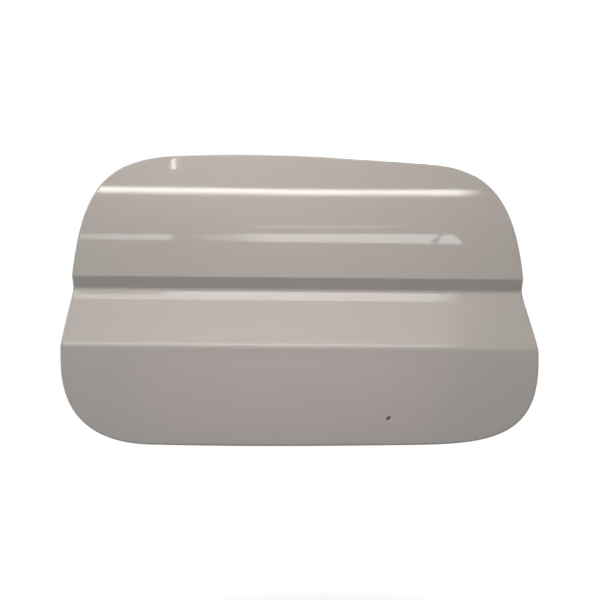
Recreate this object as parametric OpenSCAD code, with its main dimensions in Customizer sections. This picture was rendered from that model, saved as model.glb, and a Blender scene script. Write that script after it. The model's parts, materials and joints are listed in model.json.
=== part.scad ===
// Car fuel door: a pressed steel skin hemmed over an inner panel, on a hinge with an upright pin.
// X runs along the car, Z is up, and the painted face looks towards -Y.
// Everything is drawn from the middle of the door's outline, with Y 0 at the shoulder crease,
// and then moved so that the origin is the centre of the hinge's two screw holes.

/* [Outline] */
// Overall width of the door
door_w = 208.5; // [195:0.5:222]
// Overall height of the door
door_h = 131; // [122:0.5:142]
// Top left corner: its run along the top edge, and down the side
tl_size = [44.7, 54.1]; // [38:0.1:60]
// Top left corner: how far its two ends lie inside the overall size
tl_inset = [0.4, 1.6]; // [0:0.1:4]
// Top left corner: lean of the top edge and of the side at its ends, in degrees
tl_lean = [3.3, 6.1]; // [0:0.1:9]
// Top left corner: reach of the curve along each edge
tl_reach = [33.8, 34.3]; // [26:0.1:40]
// Top right corner: its run along the top edge, and down the side
tr_size = [44.2, 59.5]; // [38:0.1:62]
// Top right corner: how far its two ends lie inside the overall size
tr_inset = [3.1, 3.1]; // [0:0.1:5]
// Top right corner: lean of the top edge and of the side at its ends, in degrees
tr_lean = [4, 5]; // [0:0.1:9]
// Top right corner: reach of the curve along each edge
tr_reach = [31, 33.9]; // [26:0.1:40]
// Bottom right corner: its run along the bottom edge, and up the side
br_size = [53.7, 28.8]; // [26:0.1:60]
// Bottom right corner: how far its two ends lie inside the overall size
br_inset = [1.1, 0.25]; // [0:0.05:4]
// Bottom right corner: lean of the bottom edge and of the side at its ends, in degrees
br_lean = [1.3, 7]; // [0:0.1:9]
// Bottom right corner: reach of the curve along each edge
br_reach = [29.2, 25]; // [20:0.1:36]
// Bottom left corner: its run along the bottom edge, and up the side
bl_size = [39.1, 36.3]; // [30:0.1:50]
// Bottom left corner: how far its two ends lie inside the overall size
bl_inset = [0.25, 0.15]; // [0:0.05:4]
// Bottom left corner: lean of the bottom edge and of the side at its ends, in degrees
bl_lean = [1, 0.9]; // [0:0.1:9]
// Bottom left corner: reach of the curve along each edge
bl_reach = [27.6, 21.4]; // [18:0.1:34]

/* [Front profile] */
// Height of the shoulder crease above the middle
shoulder_z = 9.1; // [7:0.1:11]
// Height of the valley below the shoulder, where its two slopes would meet
valley_z = 3.3; // [2.5:0.1:4]
// How far the valley lies behind the shoulder
valley_y = 4; // [3.5:0.1:4.5]
// Height of the lower crease, below the middle
crease_z = -21.7; // [-25:0.1:-18]
// How far the lower crease stands out in front of the shoulder
crease_out = 11; // [9:0.1:12.5]
// Radius over the shoulder crease
shoulder_r = 1.8; // [0.8:0.1:3]
// Radius in the valley
valley_r = 3; // [1.5:0.1:3.2]
// Height at which the shelf under the valley meets the facet, against the middle
shelf_z = -1.2; // [-1.8:0.1:-0.6]
// How far that edge of the shelf lies behind the shoulder
shelf_y = 2.2; // [1.8:0.1:2.6]
// Radius of the slow hollow between shelf and facet
shelf_r = 10; // [6:0.5:12]
// Radius over the lower crease
crease_r = 4; // [2:0.5:6]
// Radius of the bow of the upper panel
upper_bow_r = 220; // [160:5:320]
// Radius of the bow of the lower panel
lower_bow_r = 600; // [400:10:1200]
// Lean of both panels at the creases, in degrees
panel_lean = 1.7; // [0:0.1:3]

/* [Sheet metal] */
// Thickness of the outer skin
skin_t = 0.8; // [0.6:0.05:1]
// Thickness of the inner panel
inner_t = 0.7; // [0.6:0.05:0.9]
// Width of the hem that folds back over the inner panel
hem_w = 8; // [6:0.1:9]
// Gap between the inner panel's edge and the fold
hem_gap = 0.4; // [0.2:0.1:1]
// Depth of the pan, from the painted face to the floor of the inner panel
pan_depth = 6.5; // [5:0.1:8]
// Distance from the outline to the pan's wall, at the level of the lower crease
pan_inset = 11.5; // [10.5:0.1:14]
// Draft of the pan's wall and of the raised seats, in degrees
draft = 15; // [8:1:20]
// Width of the bead of sealer along the hem
sealer_w = 2.2; // [1.5:0.1:2.4]
// Thickness of the bead of sealer
sealer_t = 0.8; // [0.6:0.1:1.2]
// Radius of the pads of soft mastic between the two sheets
mastic_r = 8; // [5:0.5:10]

/* [Stiffening beads] */
// Gap between the upper bumper and the bead across the upper panel
bead_clear = 6; // [4:0.5:12]
// Distance from the right end of the door to the bead's other end
bead_in_x = 58.2; // [50:0.1:70]
// Width of the pressed bead
bead_w = 10; // [8:0.5:12]
// How far the bead stands out of the pan's floor
bead_out = 2; // [1:0.1:3]
// Distance from the top of the door to the bead's middle
bead_in_z = 24.5; // [22.5:0.5:28]
// Radius of the paint drain holes
drain_r = 3; // [2:0.5:3.5]

/* [Seats] */
// Distance of the raised seats' back face behind the shoulder crease
seat_y = 12.5; // [12:0.1:14]
// Length of the hinge seat along the door
hinge_seat_l = 46; // [44:0.5:50]
// Height of the hinge seat
hinge_seat_h = 46; // [44:0.5:50]
// Length of the latch seat along the door
latch_seat_l = 26; // [24:0.5:28]
// Height of the latch seat
latch_seat_h = 32; // [30:0.5:36]
// Corner radius of the raised seats
seat_r = 5; // [3:0.5:7]

/* [Hinge] */
// Distance of the pin from the middle of the door, as a share of half the width
pivot_share = 0.6331; // [0.615:0.0001:0.65]
// Distance of the pin behind the shoulder crease
pivot_y = 18.5; // [18:0.1:20]
// Height of the hinge's middle
pivot_z = 2; // [0:0.5:4]
// Radius of the hinge pin
pin_r = 3; // [2.5:0.1:3.2]
// Running gap round the pin
pin_gap = 0.05; // [0.02:0.01:0.09]
// Overall height of the hinge arm
arm_h = 41.7; // [40:0.1:43]
// Thickness of the hinge arm
arm_t = 1.6; // [1.4:0.1:2]
// Distance from the pin to the far end of the arm's web
arm_far = 54; // [52:0.5:56]
// Distance from the pin to the near end of the arm's web
arm_near = 15; // [13:0.5:17]
// Radius of the arm's ears round the pin
arm_ear_r = 6.5; // [6:0.1:6.8]
// Reach of the stop finger from the pin
stop_reach = 14; // [12:0.5:15]
// Half the width of the stop finger
stop_half = 3; // [2.5:0.1:3.5]
// Thickness of the hinge base
base_t = 2; // [1.8:0.1:2.5]
// Distance from the pin to the front of the base plate
base_back = 20; // [19:0.5:23]
// Radius of the base's ears round the pin
base_ear_r = 6.8; // [6.5:0.1:7]
// Distance from the pin to the far end of the base plate
base_far = 41; // [39:0.5:44]
// Outer radius of the bushes in the arm
bush_r = 4.5; // [4.2:0.1:4.8]
// Thickness of a bush's flange
bush_flange_t = 1; // [0.8:0.1:1.4]
// Gap between a bush's flange and the base's ear
ear_gap = 0.15; // [0.1:0.05:0.3]
// Radius of the rubber buffers that stop the door
buffer_r = 3.9; // [3:0.1:3.9]
// Radius of the pin's head
pin_head_r = 5; // [4.5:0.1:5.5]
// Thickness of the pin's head
pin_head_t = 2; // [1.5:0.1:2.5]

/* [Mounting holes] */
// Distance between the two screw holes
bolt_spacing = 26; // [24:0.5:30]
// Radius of the screw holes
bolt_r = 3.3; // [2.8:0.1:3.5]
// Distance from the pin to the line of the screw holes
bolt_back = 31; // [29:0.5:32]

/* [Spring] */
// Diameter of the spring's wire
wire_d = 1.8; // [1.4:0.1:2]
// Mean radius of the spring's coil
coil_r = 5.2; // [5:0.1:5.6]
// Number of turns
coil_turns = 7; // [5:1:8]
// Distance from one turn to the next
coil_pitch = 2.1; // [2.05:0.05:2.3]
// Length of the leg that lies on the arm, measured from the pin
arm_leg = 32; // [26:1:40]
// Length of the foot that lies on the base plate
base_leg = 10; // [6:1:14]

/* [Latch striker] */
// Distance of the striker's blade from the middle of the door, as a share of half the width
striker_share = 0.825; // [0.815:0.001:0.835]
// Height of the striker's blade behind its seat
striker_out = 24; // [20:0.5:28]
// Width of the striker's blade
striker_w = 18; // [16:0.5:22]
// Thickness of the striker
striker_t = 2; // [1.6:0.1:2.4]
// Radius of the eye that the lock's rod enters
eye_r = 4.5; // [3.5:0.1:5]
// Distance from the top of the blade to the middle of the eye
eye_in = 9; // [8:0.1:10]
// Length of the striker's foot
striker_foot = 20; // [18:0.5:22]

/* [Rivets] */
// Radius of the rivets in the hinge arm
arm_rivet_r = 2.5; // [2:0.1:2.8]
// Radius of their heads
arm_rivet_head_r = 4.5; // [4:0.1:5]
// Radius of the rivets in the striker
striker_rivet_r = 2.2; // [1.8:0.1:2.5]
// Radius of their heads
striker_rivet_head_r = 4; // [3.5:0.1:4.4]
// Thickness of a rivet's head
rivet_head_t = 1.2; // [0.8:0.1:1.6]
// Distance between the rivets, up and down the arm
arm_rivet_spacing = 26; // [24:0.5:27]
// Distance between the rivets in the striker
striker_rivet_spacing = 18; // [16:0.5:19]

/* [Bumpers] */
// Radius of a bumper's cushion
bumper_r = 6; // [5:0.5:7]
// How far a bumper stands out of the inner panel
bumper_out = 7; // [5:0.5:10]
// Radius of a bumper's stem
bumper_stem_r = 2.5; // [2:0.1:3]
// Thickness of the head that holds a bumper in the inner panel
bumper_head_t = 1.5; // [1:0.1:2]
// How far that head stands out round the stem
bumper_lip = 1.2; // [0.8:0.1:1.5]
// Distance of the bumpers from the left end of the door
bumper_in = 34.3; // [32:0.1:36]
// Height of the upper bumper, as a share of half the height
bumper_top_share = 0.55; // [0.52:0.005:0.57]
// Depth of the lower bumper below the middle, as a share of half the height
bumper_low_share = 0.641; // [0.6:0.001:0.65]

/* [Cap holder] */
// Width of the cap holder's plate
holder_w = 44; // [40:0.5:50]
// Height of the cap holder's plate
holder_h = 30; // [26:0.5:32]
// Distance from the bumpers to the plate's middle
holder_in = 52; // [51:0.5:56]
// Depth of the plate's middle below the middle of the door, as a share of half the height
holder_low_share = 0.641; // [0.62:0.001:0.66]
// Thickness of the plastic
holder_t = 2.4; // [2:0.1:3]
// Clear depth behind the plate
holder_gap = 8; // [7:0.1:10]
// Width of the slot that the cap's neck hangs in
slot_w = 14; // [12:0.5:16]
// Width of each foot
foot_w = 12; // [10:0.5:14]
// Thickness of each foot
foot_t = 2.4; // [2:0.1:3]
// Radius of the clips that hold the feet
clip_r = 2; // [1.6:0.1:2.3]
// Radius of a clip's head
clip_head_r = 3.6; // [3:0.1:4.2]
// Thickness of a clip's head
clip_head_t = 1.4; // [1:0.1:1.8]
// How far a clip's barb stands out round its shank
clip_barb = 0.8; // [0.5:0.1:1]

/* [Hidden] */
$fn = 48;

paint = [0.72, 0.69, 0.67];
zinc = [0.62, 0.62, 0.6];
rubber = [0.08, 0.08, 0.08];
plastic = [0.13, 0.13, 0.14];

corner_steps = 12;
edge_steps = 5;
arc_steps = 6;
bow_steps = 14;
reach_out = 30;
deep_y = 60;
tiny = 0.01;

half_w = door_w / 2;
half_h = door_h / 2;
pivot_x = half_w * pivot_share;
striker_x = -half_w * striker_share;
bumper_x = bumper_in - half_w;
holder_x = bumper_x + holder_in;
holder_z = -half_h * holder_low_share;
bead_left = bumper_x + bumper_r + bead_clear;
bead_right = half_w - bead_in_x;
bead_at = [(bead_left + bead_right) / 2, half_h - bead_in_z];
crease_y = -crease_out;
in_hem = skin_t + inner_t;
hem_t = in_hem + skin_t;
pan_back = pan_depth + inner_t;
ear_in = arm_h / 2 + bush_flange_t + ear_gap;
base_h = 2 * (ear_in + base_t);
base_y = pivot_y + base_back;
pin_hole_r = pin_r + pin_gap;
bolt_at = [pivot_x - bolt_back, base_y + base_t, pivot_z];

// A point on a cubic curve
function bez(p, q, r, s, t) =
    pow(1 - t, 3) * p + 3 * pow(1 - t, 2) * t * q + 3 * (1 - t) * t * t * r + t * t * t * s;
function curve(p, q, r, s, n) = [for (i = [0:n - 1]) bez(p, q, r, s, i / n)];
function without_first(list) = [for (i = [1:len(list) - 1]) list[i]];
function reversed(list) = [for (i = [len(list) - 1:-1:0]) list[i]];

// Corners are worked out from their own side edge (u) and top or bottom edge (v), inwards
function place(side, u, v) = [side[0] * (half_w - u), side[1] * (half_h - v)];
function flat_end(side, c, out = 0) =
    place(side, c[0][0] + out * cos(c[2][0]), c[1][0] - out * sin(c[2][0]));
function side_end(side, c, out = 0) =
    place(side, c[1][1] - out * sin(c[2][1]), c[0][1] + out * cos(c[2][1]));
function corner(side, c, n = corner_steps) =
    curve(side_end(side, c), side_end(side, c, -c[3][1]), flat_end(side, c, -c[3][0]), flat_end(side, c), n);
function flat_edge(a, ca, b, cb) =
    let (third = norm(flat_end(b, cb) - flat_end(a, ca)) / 3)
    curve(flat_end(a, ca), flat_end(a, ca, third), flat_end(b, cb, third), flat_end(b, cb), edge_steps);
function side_edge(a, ca, b, cb) =
    let (third = norm(side_end(b, cb) - side_end(a, ca)) / 3)
    curve(side_end(a, ca), side_end(a, ca, third), side_end(b, cb, third), side_end(b, cb), edge_steps);

tl = [-1, 1];
tr = [1, 1];
br = [1, -1];
bl = [-1, -1];
tl_corner = [tl_size, tl_inset, tl_lean, tl_reach];
tr_corner = [tr_size, tr_inset, tr_lean, tr_reach];
br_corner = [br_size, br_inset, br_lean, br_reach];
bl_corner = [bl_size, bl_inset, bl_lean, bl_reach];

outline = concat(
    corner(tl, tl_corner),
    flat_edge(tl, tl_corner, tr, tr_corner),
    [flat_end(tr, tr_corner)],
    reversed(without_first(corner(tr, tr_corner))),
    side_edge(tr, tr_corner, br, br_corner),
    corner(br, br_corner),
    flat_edge(br, br_corner, bl, bl_corner),
    [flat_end(bl, bl_corner)],
    reversed(without_first(corner(bl, bl_corner))),
    side_edge(bl, bl_corner, tl, tl_corner)
);

// The front profile, as points [y, z] from above the top edge to below the bottom edge
function arc_over(p, corner, q, r) =
    // a round of radius r in the corner between the directions to p and to q
    let (
        a = (p - corner) / norm(p - corner),
        b = (q - corner) / norm(q - corner),
        half = acos(a * b) / 2,
        cut = r / tan(half),
        centre = corner + (a + b) / norm(a + b) * r / sin(half),
        start = corner + a * cut - centre,
        end = corner + b * cut - centre,
        from = atan2(start[1], start[0]),
        raw = atan2(end[1], end[0]) - from,
        turn = raw > 180 ? raw - 360 : raw < -180 ? raw + 360 : raw
    )
    [for (i = [0:arc_steps]) let (angle = from + turn * i / arc_steps) centre + r * [cos(angle), sin(angle)]];

function upper_point(h) = [h * h / (2 * upper_bow_r) + h * tan(panel_lean), shoulder_z + h];
function lower_point(h) = [crease_y + h * h / (2 * lower_bow_r) + h * tan(panel_lean), crease_z - h];

shoulder_at = [0, shoulder_z];
valley_at = [valley_y, valley_z];
shelf_at = [shelf_y, shelf_z];
crease_at = [crease_y, crease_z];
upper_h = half_h + reach_out - shoulder_z;
lower_h = half_h + reach_out + crease_z;
front_line = concat(
    [for (i = [bow_steps:-1:1]) upper_point(shoulder_r + (upper_h - shoulder_r) * i / bow_steps)],
    arc_over(upper_point(1), shoulder_at, valley_at, shoulder_r),
    arc_over(shoulder_at, valley_at, shelf_at, valley_r),
    arc_over(valley_at, shelf_at, crease_at, shelf_r),
    arc_over(shelf_at, crease_at, lower_point(1), crease_r),
    [for (i = [1:bow_steps]) lower_point(crease_r + (lower_h - crease_r) * i / bow_steps)]
);

module outline_2d(inset = 0) {
    offset(delta = -inset) polygon(outline);
}

// Everything that lies at least this deep behind the painted face, in section
module behind_2d(depth = 0) {
    offset(delta = -depth)
        polygon(concat(front_line, [[2 * deep_y, -half_h - reach_out], [2 * deep_y, half_h + reach_out]]));
}

// A section [y, z] carried along the whole door
module along_door() {
    translate([-half_w - reach_out, 0, 0])
        rotate([90, 0, 90])
        linear_extrude(2 * (half_w + reach_out))
        children();
}

// A plan [x, z] carried from one depth to another
module through(y0 = -reach_out, y1 = deep_y) {
    translate([0, y1, 0]) rotate([90, 0, 0]) linear_extrude(y1 - y0) children();
}

module behind(depth) {
    along_door() behind_2d(depth);
}

module layer(from, to) {
    along_door() difference() {
        behind_2d(from);
        behind_2d(to);
    }
}

// A drafted block: its plan shrinks by the draft from the crease's depth to y1
module drafted(y1, inset) {
    shrink = (y1 - crease_y) * tan(draft);
    hull() {
        through(crease_y - 2, crease_y) outline_2d(inset);
        through(y1 - tiny, y1) outline_2d(inset + shrink);
    }
}

// A drafted seat: its plan has its true size at y1 and grows towards the front
module drafted_seat(at, size, y1, inset = 0) {
    grow = (y1 - crease_y) * tan(draft);
    hull() {
        through(y1 - tiny, y1) rounded(at, size, seat_r, -inset);
        through(crease_y, crease_y + tiny) rounded(at, size, seat_r, grow - inset);
    }
}

module rounded(at, size, r, grow = 0) {
    translate(at) offset(r = r + grow) square([size[0] - 2 * r, size[1] - 2 * r], center = true);
}

// Everything is moved so that the origin is the middle of the two screw holes
module placed() {
    translate(-bolt_at) children();
}

// An upright cylinder on a line parallel to the pin
module upright(r, z0, z1, at = [pivot_x, pivot_y]) {
    translate([at[0], at[1], z0]) cylinder(r = r, h = z1 - z0);
}

// A cylinder at a place [x, z] of the door, right through it unless its ends are given
module across(at, r, y0 = -reach_out, y1 = deep_y) {
    translate([at[0], y1, at[1]]) rotate([90, 0, 0]) cylinder(r = r, h = y1 - y0);
}

// Outer skin, with its edge folded back over the inner panel
module outer_skin() {
    color(paint) placed() union() {
        intersection() {
            through() outline_2d();
            layer(0, skin_t);
        }
        intersection() {
            through() difference() {
                outline_2d();
                outline_2d(skin_t);
            }
            layer(0, hem_t);
        }
        intersection() {
            through() difference() {
                outline_2d();
                outline_2d(hem_w);
            }
            layer(in_hem, hem_t);
        }
    }
}

// Inner panel: a flange in the hem, a drafted wall, a floor that follows the skin, and raised seats
wall_inset = inner_t / cos(draft);
pan_y = 2 * seat_y;
seat_edge = 1;
hinge_seat_at = [pivot_x - (arm_near + arm_far) / 2, pivot_z];
hinge_seat_size = [hinge_seat_l, hinge_seat_h];
latch_seat_at = [striker_x + striker_foot / 2 + seat_edge, pivot_z];
latch_seat_size = [latch_seat_l, latch_seat_h];
seats = [[hinge_seat_at, hinge_seat_size], [latch_seat_at, latch_seat_size]];

// places on the door, as shares of half its width and half its height
function spread(shares) = [for (at = shares) [at[0] * half_w, at[1] * half_h]];
arm_rivet_at = [
    for (x = [arm_far - 2 * arm_rivet_head_r + seat_edge, arm_near + 2 * arm_rivet_head_r + seat_edge])
    for (side = [-1, 1])
    [pivot_x - x, pivot_z + side * arm_rivet_spacing / 2]
];
striker_rivet_at = [
    for (side = [-1, 1])
    [striker_x + striker_foot - 1.5 * striker_rivet_head_r, pivot_z + side * striker_rivet_spacing / 2]
];
drain_at = spread([[-0.595, 0.427], [-0.345, -0.153], [0.096, 0.458], [0.633, -0.55], [-0.288, 0.397],
    [0.537, 0.55]]);
bumper_at = [[bumper_x, half_h * bumper_top_share], [bumper_x, -half_h * bumper_low_share]];
leg_out = holder_w / 2 + holder_t;
clip_at = [for (side = [-1, 1]) [holder_x + side * (leg_out + foot_w / 2), holder_z]];

module bead_2d(grow = 0) {
    rounded(bead_at, [bead_right - bead_left, bead_w], bead_w / 2 - tiny, grow);
}

// The pan's outside form, solid: flange, floor, bead and seats
module pan_outside() {
    intersection() {
        layer(skin_t, in_hem);
        through() outline_2d(skin_t + hem_gap);
    }
    intersection() {
        layer(skin_t, pan_back);
        drafted(pan_y, pan_inset);
    }
    intersection() {
        layer(pan_depth, pan_back + bead_out);
        through() bead_2d();
    }
    for (seat = seats) intersection() {
        behind(skin_t);
        drafted_seat(seat[0], seat[1], seat_y);
    }
}

// What is hollow in front of the sheet
module pan_inside() {
    intersection() {
        layer(0, pan_depth);
        drafted(pan_y, pan_inset + wall_inset);
    }
    intersection() {
        layer(0, pan_depth + bead_out);
        through() bead_2d(-inner_t);
    }
    for (seat = seats) drafted_seat(seat[0], seat[1], seat_y - inner_t, wall_inset);
}

module panel_holes() {
    for (at = drain_at) across(at, drain_r);
    for (at = bumper_at) across(at, bumper_stem_r);
    for (at = arm_rivet_at) across(at, arm_rivet_r);
    for (at = striker_rivet_at) across(at, striker_rivet_r);
    for (at = clip_at) across(at, clip_r);
}

module inner_panel() {
    color(paint * 0.95) placed() difference() {
        pan_outside();
        pan_inside();
        panel_holes();
    }
}

// Bead of sealer laid along the raw edge of the hem
module hem_sealer() {
    color([0.6, 0.58, 0.55]) placed() intersection() {
        through() difference() {
            outline_2d(hem_w);
            outline_2d(hem_w + sealer_w);
        }
        layer(in_hem, in_hem + sealer_t);
    }
}

// Pads of soft mastic that keep the skin from drumming
mastic_low = -0.56;
mastic_apart = 3.2 * mastic_r;
mastic_at = concat(
    spread([[-0.422, 0.366], [-0.096, 0.366], [0.671, 0.366], [0.5, mastic_low]]),
    [for (side = [-1, 1]) [holder_x + side * mastic_apart / 2, mastic_low * half_h]]
);
module mastic_pads() {
    color([0.3, 0.3, 0.28]) placed() intersection() {
        union() for (at = mastic_at) across(at, mastic_r);
        layer(skin_t, pan_depth);
    }
}

// A channel pressed from sheet: web at y0, sides turned towards +Y or -Y
module channel(x0, x1, y0, depth, h, t, way) {
    bend = 1.5 * t;
    translate([x0, y0, pivot_z])
        rotate([90, 0, 90])
        linear_extrude(x1 - x0)
        scale([way, 1])
        difference() {
            hull() {
                for (z = [-1, 1]) translate([bend, z * (h / 2 - bend)]) circle(bend);
                translate([depth - tiny, -h / 2]) square([tiny, h]);
            }
            hull() {
                for (z = [-1, 1]) translate([bend, z * (h / 2 - bend)]) circle(bend - t);
                translate([depth + tiny, t - h / 2]) square([tiny, h - 2 * t]);
            }
        }
}

// A plan [x, y] carried up over the hinge's height
module up_hinge(h) {
    translate([0, 0, pivot_z - h / 2]) linear_extrude(h) children();
}

module hinge_arm() {
    x0 = pivot_x - arm_far;
    x1 = pivot_x + stop_reach;
    web_end = pivot_x - arm_near;
    side_low = 2.5 * arm_t;
    color(paint * 0.9) placed() difference() {
        intersection() {
            channel(x0, x1, seat_y, pivot_y + arm_ear_r - seat_y + 1, arm_h, arm_t, 1);
            up_hinge(arm_h) union() {
                hull() {
                    translate([x0 + 2 * arm_t, seat_y]) square([tiny, side_low]);
                    translate([web_end, seat_y]) square([tiny, side_low]);
                    translate([pivot_x, pivot_y]) circle(arm_ear_r);
                }
                translate([x0, seat_y]) square([web_end - x0, arm_t]);
                hull() {
                    translate([pivot_x, pivot_y]) circle(stop_half);
                    translate([pivot_x + stop_reach - stop_half, pivot_y]) circle(stop_half);
                }
            }
        }
        up_hinge(arm_h - 2 * arm_t)
            translate([web_end, seat_y - 1])
            square([arm_far, arm_far]);
        upright(bush_r + pin_gap, pivot_z - arm_h, pivot_z + arm_h);
        for (at = arm_rivet_at) across(at, arm_rivet_r);
    }
}

// A rivet through a seat: a flat head in the pan and a domed head outside
module rivet(at, r, head_r, grip) {
    dome_r = 1.5 * head_r;
    sheet_y = seat_y - inner_t;
    across(at, head_r, sheet_y - rivet_head_t, sheet_y);
    across(at, r, sheet_y - rivet_head_t, seat_y + grip + rivet_head_t / 2);
    translate([at[0], seat_y + grip, at[1]]) rotate([-90, 0, 0]) intersection() {
        cylinder(r = head_r, h = head_r);
        translate([0, 0, rivet_head_t - dome_r]) sphere(dome_r);
    }
}

module arm_rivets() {
    color(zinc) placed()
        for (at = arm_rivet_at) rivet(at, arm_rivet_r, arm_rivet_head_r, arm_t);
}

// Flanged bush in one side of the arm; way is 1 for the upper one
module bush(way) {
    face = arm_h / 2;
    barrel = 1.4 * arm_t;
    color([0.85, 0.83, 0.76]) placed()
        translate([pivot_x, pivot_y, pivot_z + way * face])
        rotate([way > 0 ? 0 : 180, 0, 0])
        difference() {
            union() {
                cylinder(r = arm_ear_r, h = bush_flange_t);
                translate([0, 0, -barrel]) cylinder(r = bush_r, h = barrel + tiny);
            }
            translate([0, 0, -barrel - 1]) cylinder(r = pin_hole_r, h = barrel + bush_flange_t + 2);
        }
}

module bush_upper() {
    bush(1);
}

module bush_lower() {
    bush(-1);
}

// Bent striker with the eye that the lock's rod enters
module latch_striker() {
    foot_h = latch_seat_h - 6 * seat_edge;
    z0 = pivot_z - foot_h / 2;
    tip_y = seat_y + striker_out;
    bend = 1.5 * striker_t;
    color(zinc) placed() difference() {
        intersection() {
            // the bent section, seen from above
            translate([0, 0, z0]) linear_extrude(foot_h) difference() {
                union() {
                    translate([striker_x + bend, seat_y]) square([striker_foot - bend, striker_t]);
                    translate([striker_x, seat_y + bend]) square([striker_t, striker_out - bend]);
                    intersection() {
                        translate([striker_x + bend, seat_y + bend]) circle(bend);
                        translate([striker_x, seat_y]) square(bend);
                    }
                }
                translate([striker_x + bend, seat_y + bend]) circle(bend - striker_t);
            }
            // the blank, seen from the side: a full-width foot and a rounded blade
            along_door() union() {
                translate([seat_y, z0]) square([striker_t + 1, foot_h]);
                hull() {
                    translate([seat_y, z0]) square([tiny, foot_h]);
                    for (z = [-1, 1])
                        translate([tip_y - eye_in, pivot_z + z * (striker_w / 2 - eye_in)]) circle(eye_in);
                }
            }
        }
        translate([striker_x - 1, tip_y - eye_in, pivot_z])
            rotate([0, 90, 0])
            cylinder(r = eye_r, h = striker_t + 2);
        for (at = striker_rivet_at) across(at, striker_rivet_r);
    }
}

module striker_rivets() {
    color(zinc) placed()
        for (at = striker_rivet_at) rivet(at, striker_rivet_r, striker_rivet_head_r, striker_t);
}

// Rubber bumper: a cushion on the inner panel, a stem through it and a head that holds it
module bumper(at) {
    color(rubber) placed() union() {
        intersection() {
            behind(pan_back);
            across(at, bumper_r, -reach_out, floor_y(at[1]) + bumper_out);
        }
        intersection() {
            behind(pan_depth - bumper_head_t);
            across(at, bumper_stem_r, -reach_out, floor_y(at[1]) + bumper_out);
        }
        intersection() {
            layer(pan_depth - bumper_head_t, pan_depth);
            across(at, bumper_stem_r + bumper_lip);
        }
    }
}

// Back of the inner panel's floor at a height, by the two bowed panels
function floor_y(z) =
    pan_back + (z > 0 ? upper_point(z - shoulder_z)[0] : lower_point(crease_z - z)[0]);

module bumper_upper() {
    bumper(bumper_at[0]);
}

module bumper_lower() {
    bumper(bumper_at[1]);
}

// Moulded holder that the fuel cap hangs in while the tank is filled
holder_y = floor_y(holder_z - holder_h / 2) + holder_gap;
holder_r = 4;
foot_r = 3;
foot_h = holder_h - 2 * holder_r;
module cap_holder() {
    color(plastic) placed() difference() {
        union() {
            through(holder_y, holder_y + holder_t)
                rounded([holder_x, holder_z], [2 * leg_out, holder_h], holder_r);
            intersection() {
                behind(pan_back);
                for (side = [-1, 1])
                    through(-reach_out, holder_y + holder_t / 2)
                    translate([holder_x + side * (leg_out - holder_t / 2), holder_z])
                    square([holder_t, foot_h], center = true);
            }
            intersection() {
                layer(pan_back, pan_back + foot_t);
                for (side = [-1, 1])
                    through() rounded(
                        [holder_x + side * (leg_out + foot_w / 2 - holder_t / 2), holder_z],
                        [foot_w + holder_t, foot_h],
                        foot_r
                    );
            }
        }
        through(holder_y - 1, holder_y + holder_t + 1) hull() {
            translate([holder_x, holder_z - holder_h / 10]) circle(slot_w / 2);
            translate([holder_x, holder_z + holder_h]) circle(slot_w / 2);
        }
        for (at = clip_at) across(at, clip_r, -reach_out, holder_y - 1);
    }
}

// Push clips: a head on each foot, a shank through the inner panel and a barb behind it
module holder_clips() {
    on_foot = pan_back + foot_t;
    color(plastic * 0.8) placed() for (at = clip_at) {
        intersection() {
            layer(pan_depth - clip_head_t, on_foot + clip_head_t);
            across(at, clip_r);
        }
        intersection() {
            layer(on_foot, on_foot + clip_head_t);
            across(at, clip_head_r);
        }
        intersection() {
            layer(pan_depth - clip_head_t, pan_depth);
            across(at, clip_r + clip_barb);
        }
    }
}

// Base of the hinge: a channel with two ears for the pin and two screw holes
plate_r = 6;
plate_near = 16;
// how far the ears stand out past the plate's end
ear_over = 0.8;
module hinge_base() {
    x0 = pivot_x - base_far;
    x1 = pivot_x + base_ear_r - ear_over;
    color(paint * 0.85) placed() difference() {
        intersection() {
            channel(x0, x1 + 1, base_y + base_t, base_back + base_t + base_ear_r + 1, base_h, base_t, -1);
            up_hinge(base_h) union() {
                translate([x0, base_y]) square([x1 - x0, base_t]);
                hull() {
                    translate([pivot_x - plate_near, base_y]) square([plate_near + x1 - pivot_x, base_t]);
                    translate([pivot_x, pivot_y]) circle(base_ear_r);
                }
            }
            // rounded corners at the plate's far end
            through() rounded([(x0 + x1) / 2 + plate_r, pivot_z], [x1 - x0 + 2 * plate_r, base_h], plate_r);
        }
        upright(pin_hole_r, pivot_z - base_h, pivot_z + base_h);
        for (z = [-1, 1])
            across([bolt_at[0], pivot_z + z * bolt_spacing / 2], bolt_r);
    }
}

groove_t = 1;
groove_in = 0.7;
groove_r = pin_r - groove_in;
head_gap = 0.05;
clip_gap = 0.15;
clip_z = pivot_z - base_h / 2 - clip_gap;
pin_end = 2;

module hinge_pin() {
    top = pivot_z + base_h / 2;
    color(zinc) placed() difference() {
        union() {
            upright(pin_r, clip_z - groove_t - pin_end, top + pin_head_t / 2);
            upright(pin_head_r, top + head_gap, top + pin_head_t);
        }
        difference() {
            upright(pin_r + 1, clip_z - groove_t, clip_z);
            upright(groove_r, clip_z - groove_t - 1, clip_z + 1);
        }
    }
}

// Open ring in the pin's groove
ring_play = 0.1;
ring_fit = 0.05;
ring_r = pin_r + 2;
module pin_clip() {
    mouth = 1.5 * groove_r;
    color(zinc * 0.7) placed() translate([pivot_x, pivot_y, clip_z - groove_t + ring_play])
        linear_extrude(groove_t - 2 * ring_play)
        difference() {
            circle(ring_r);
            circle(groove_r + ring_fit);
            translate([0, -mouth / 2]) square([ring_r + 1, mouth]);
        }
}

// Rubber buffers on the base plate that the arm's stop fingers come up to at full opening
stop_gap = 0.3;
module stop_buffers() {
    reach = base_back - stop_reach - stop_gap;
    color(rubber) placed() for (side = [-1, 1])
        across([pivot_x, pivot_z + side * (arm_h / 2 - buffer_r)], buffer_r, base_y - reach, base_y);
}

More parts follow.
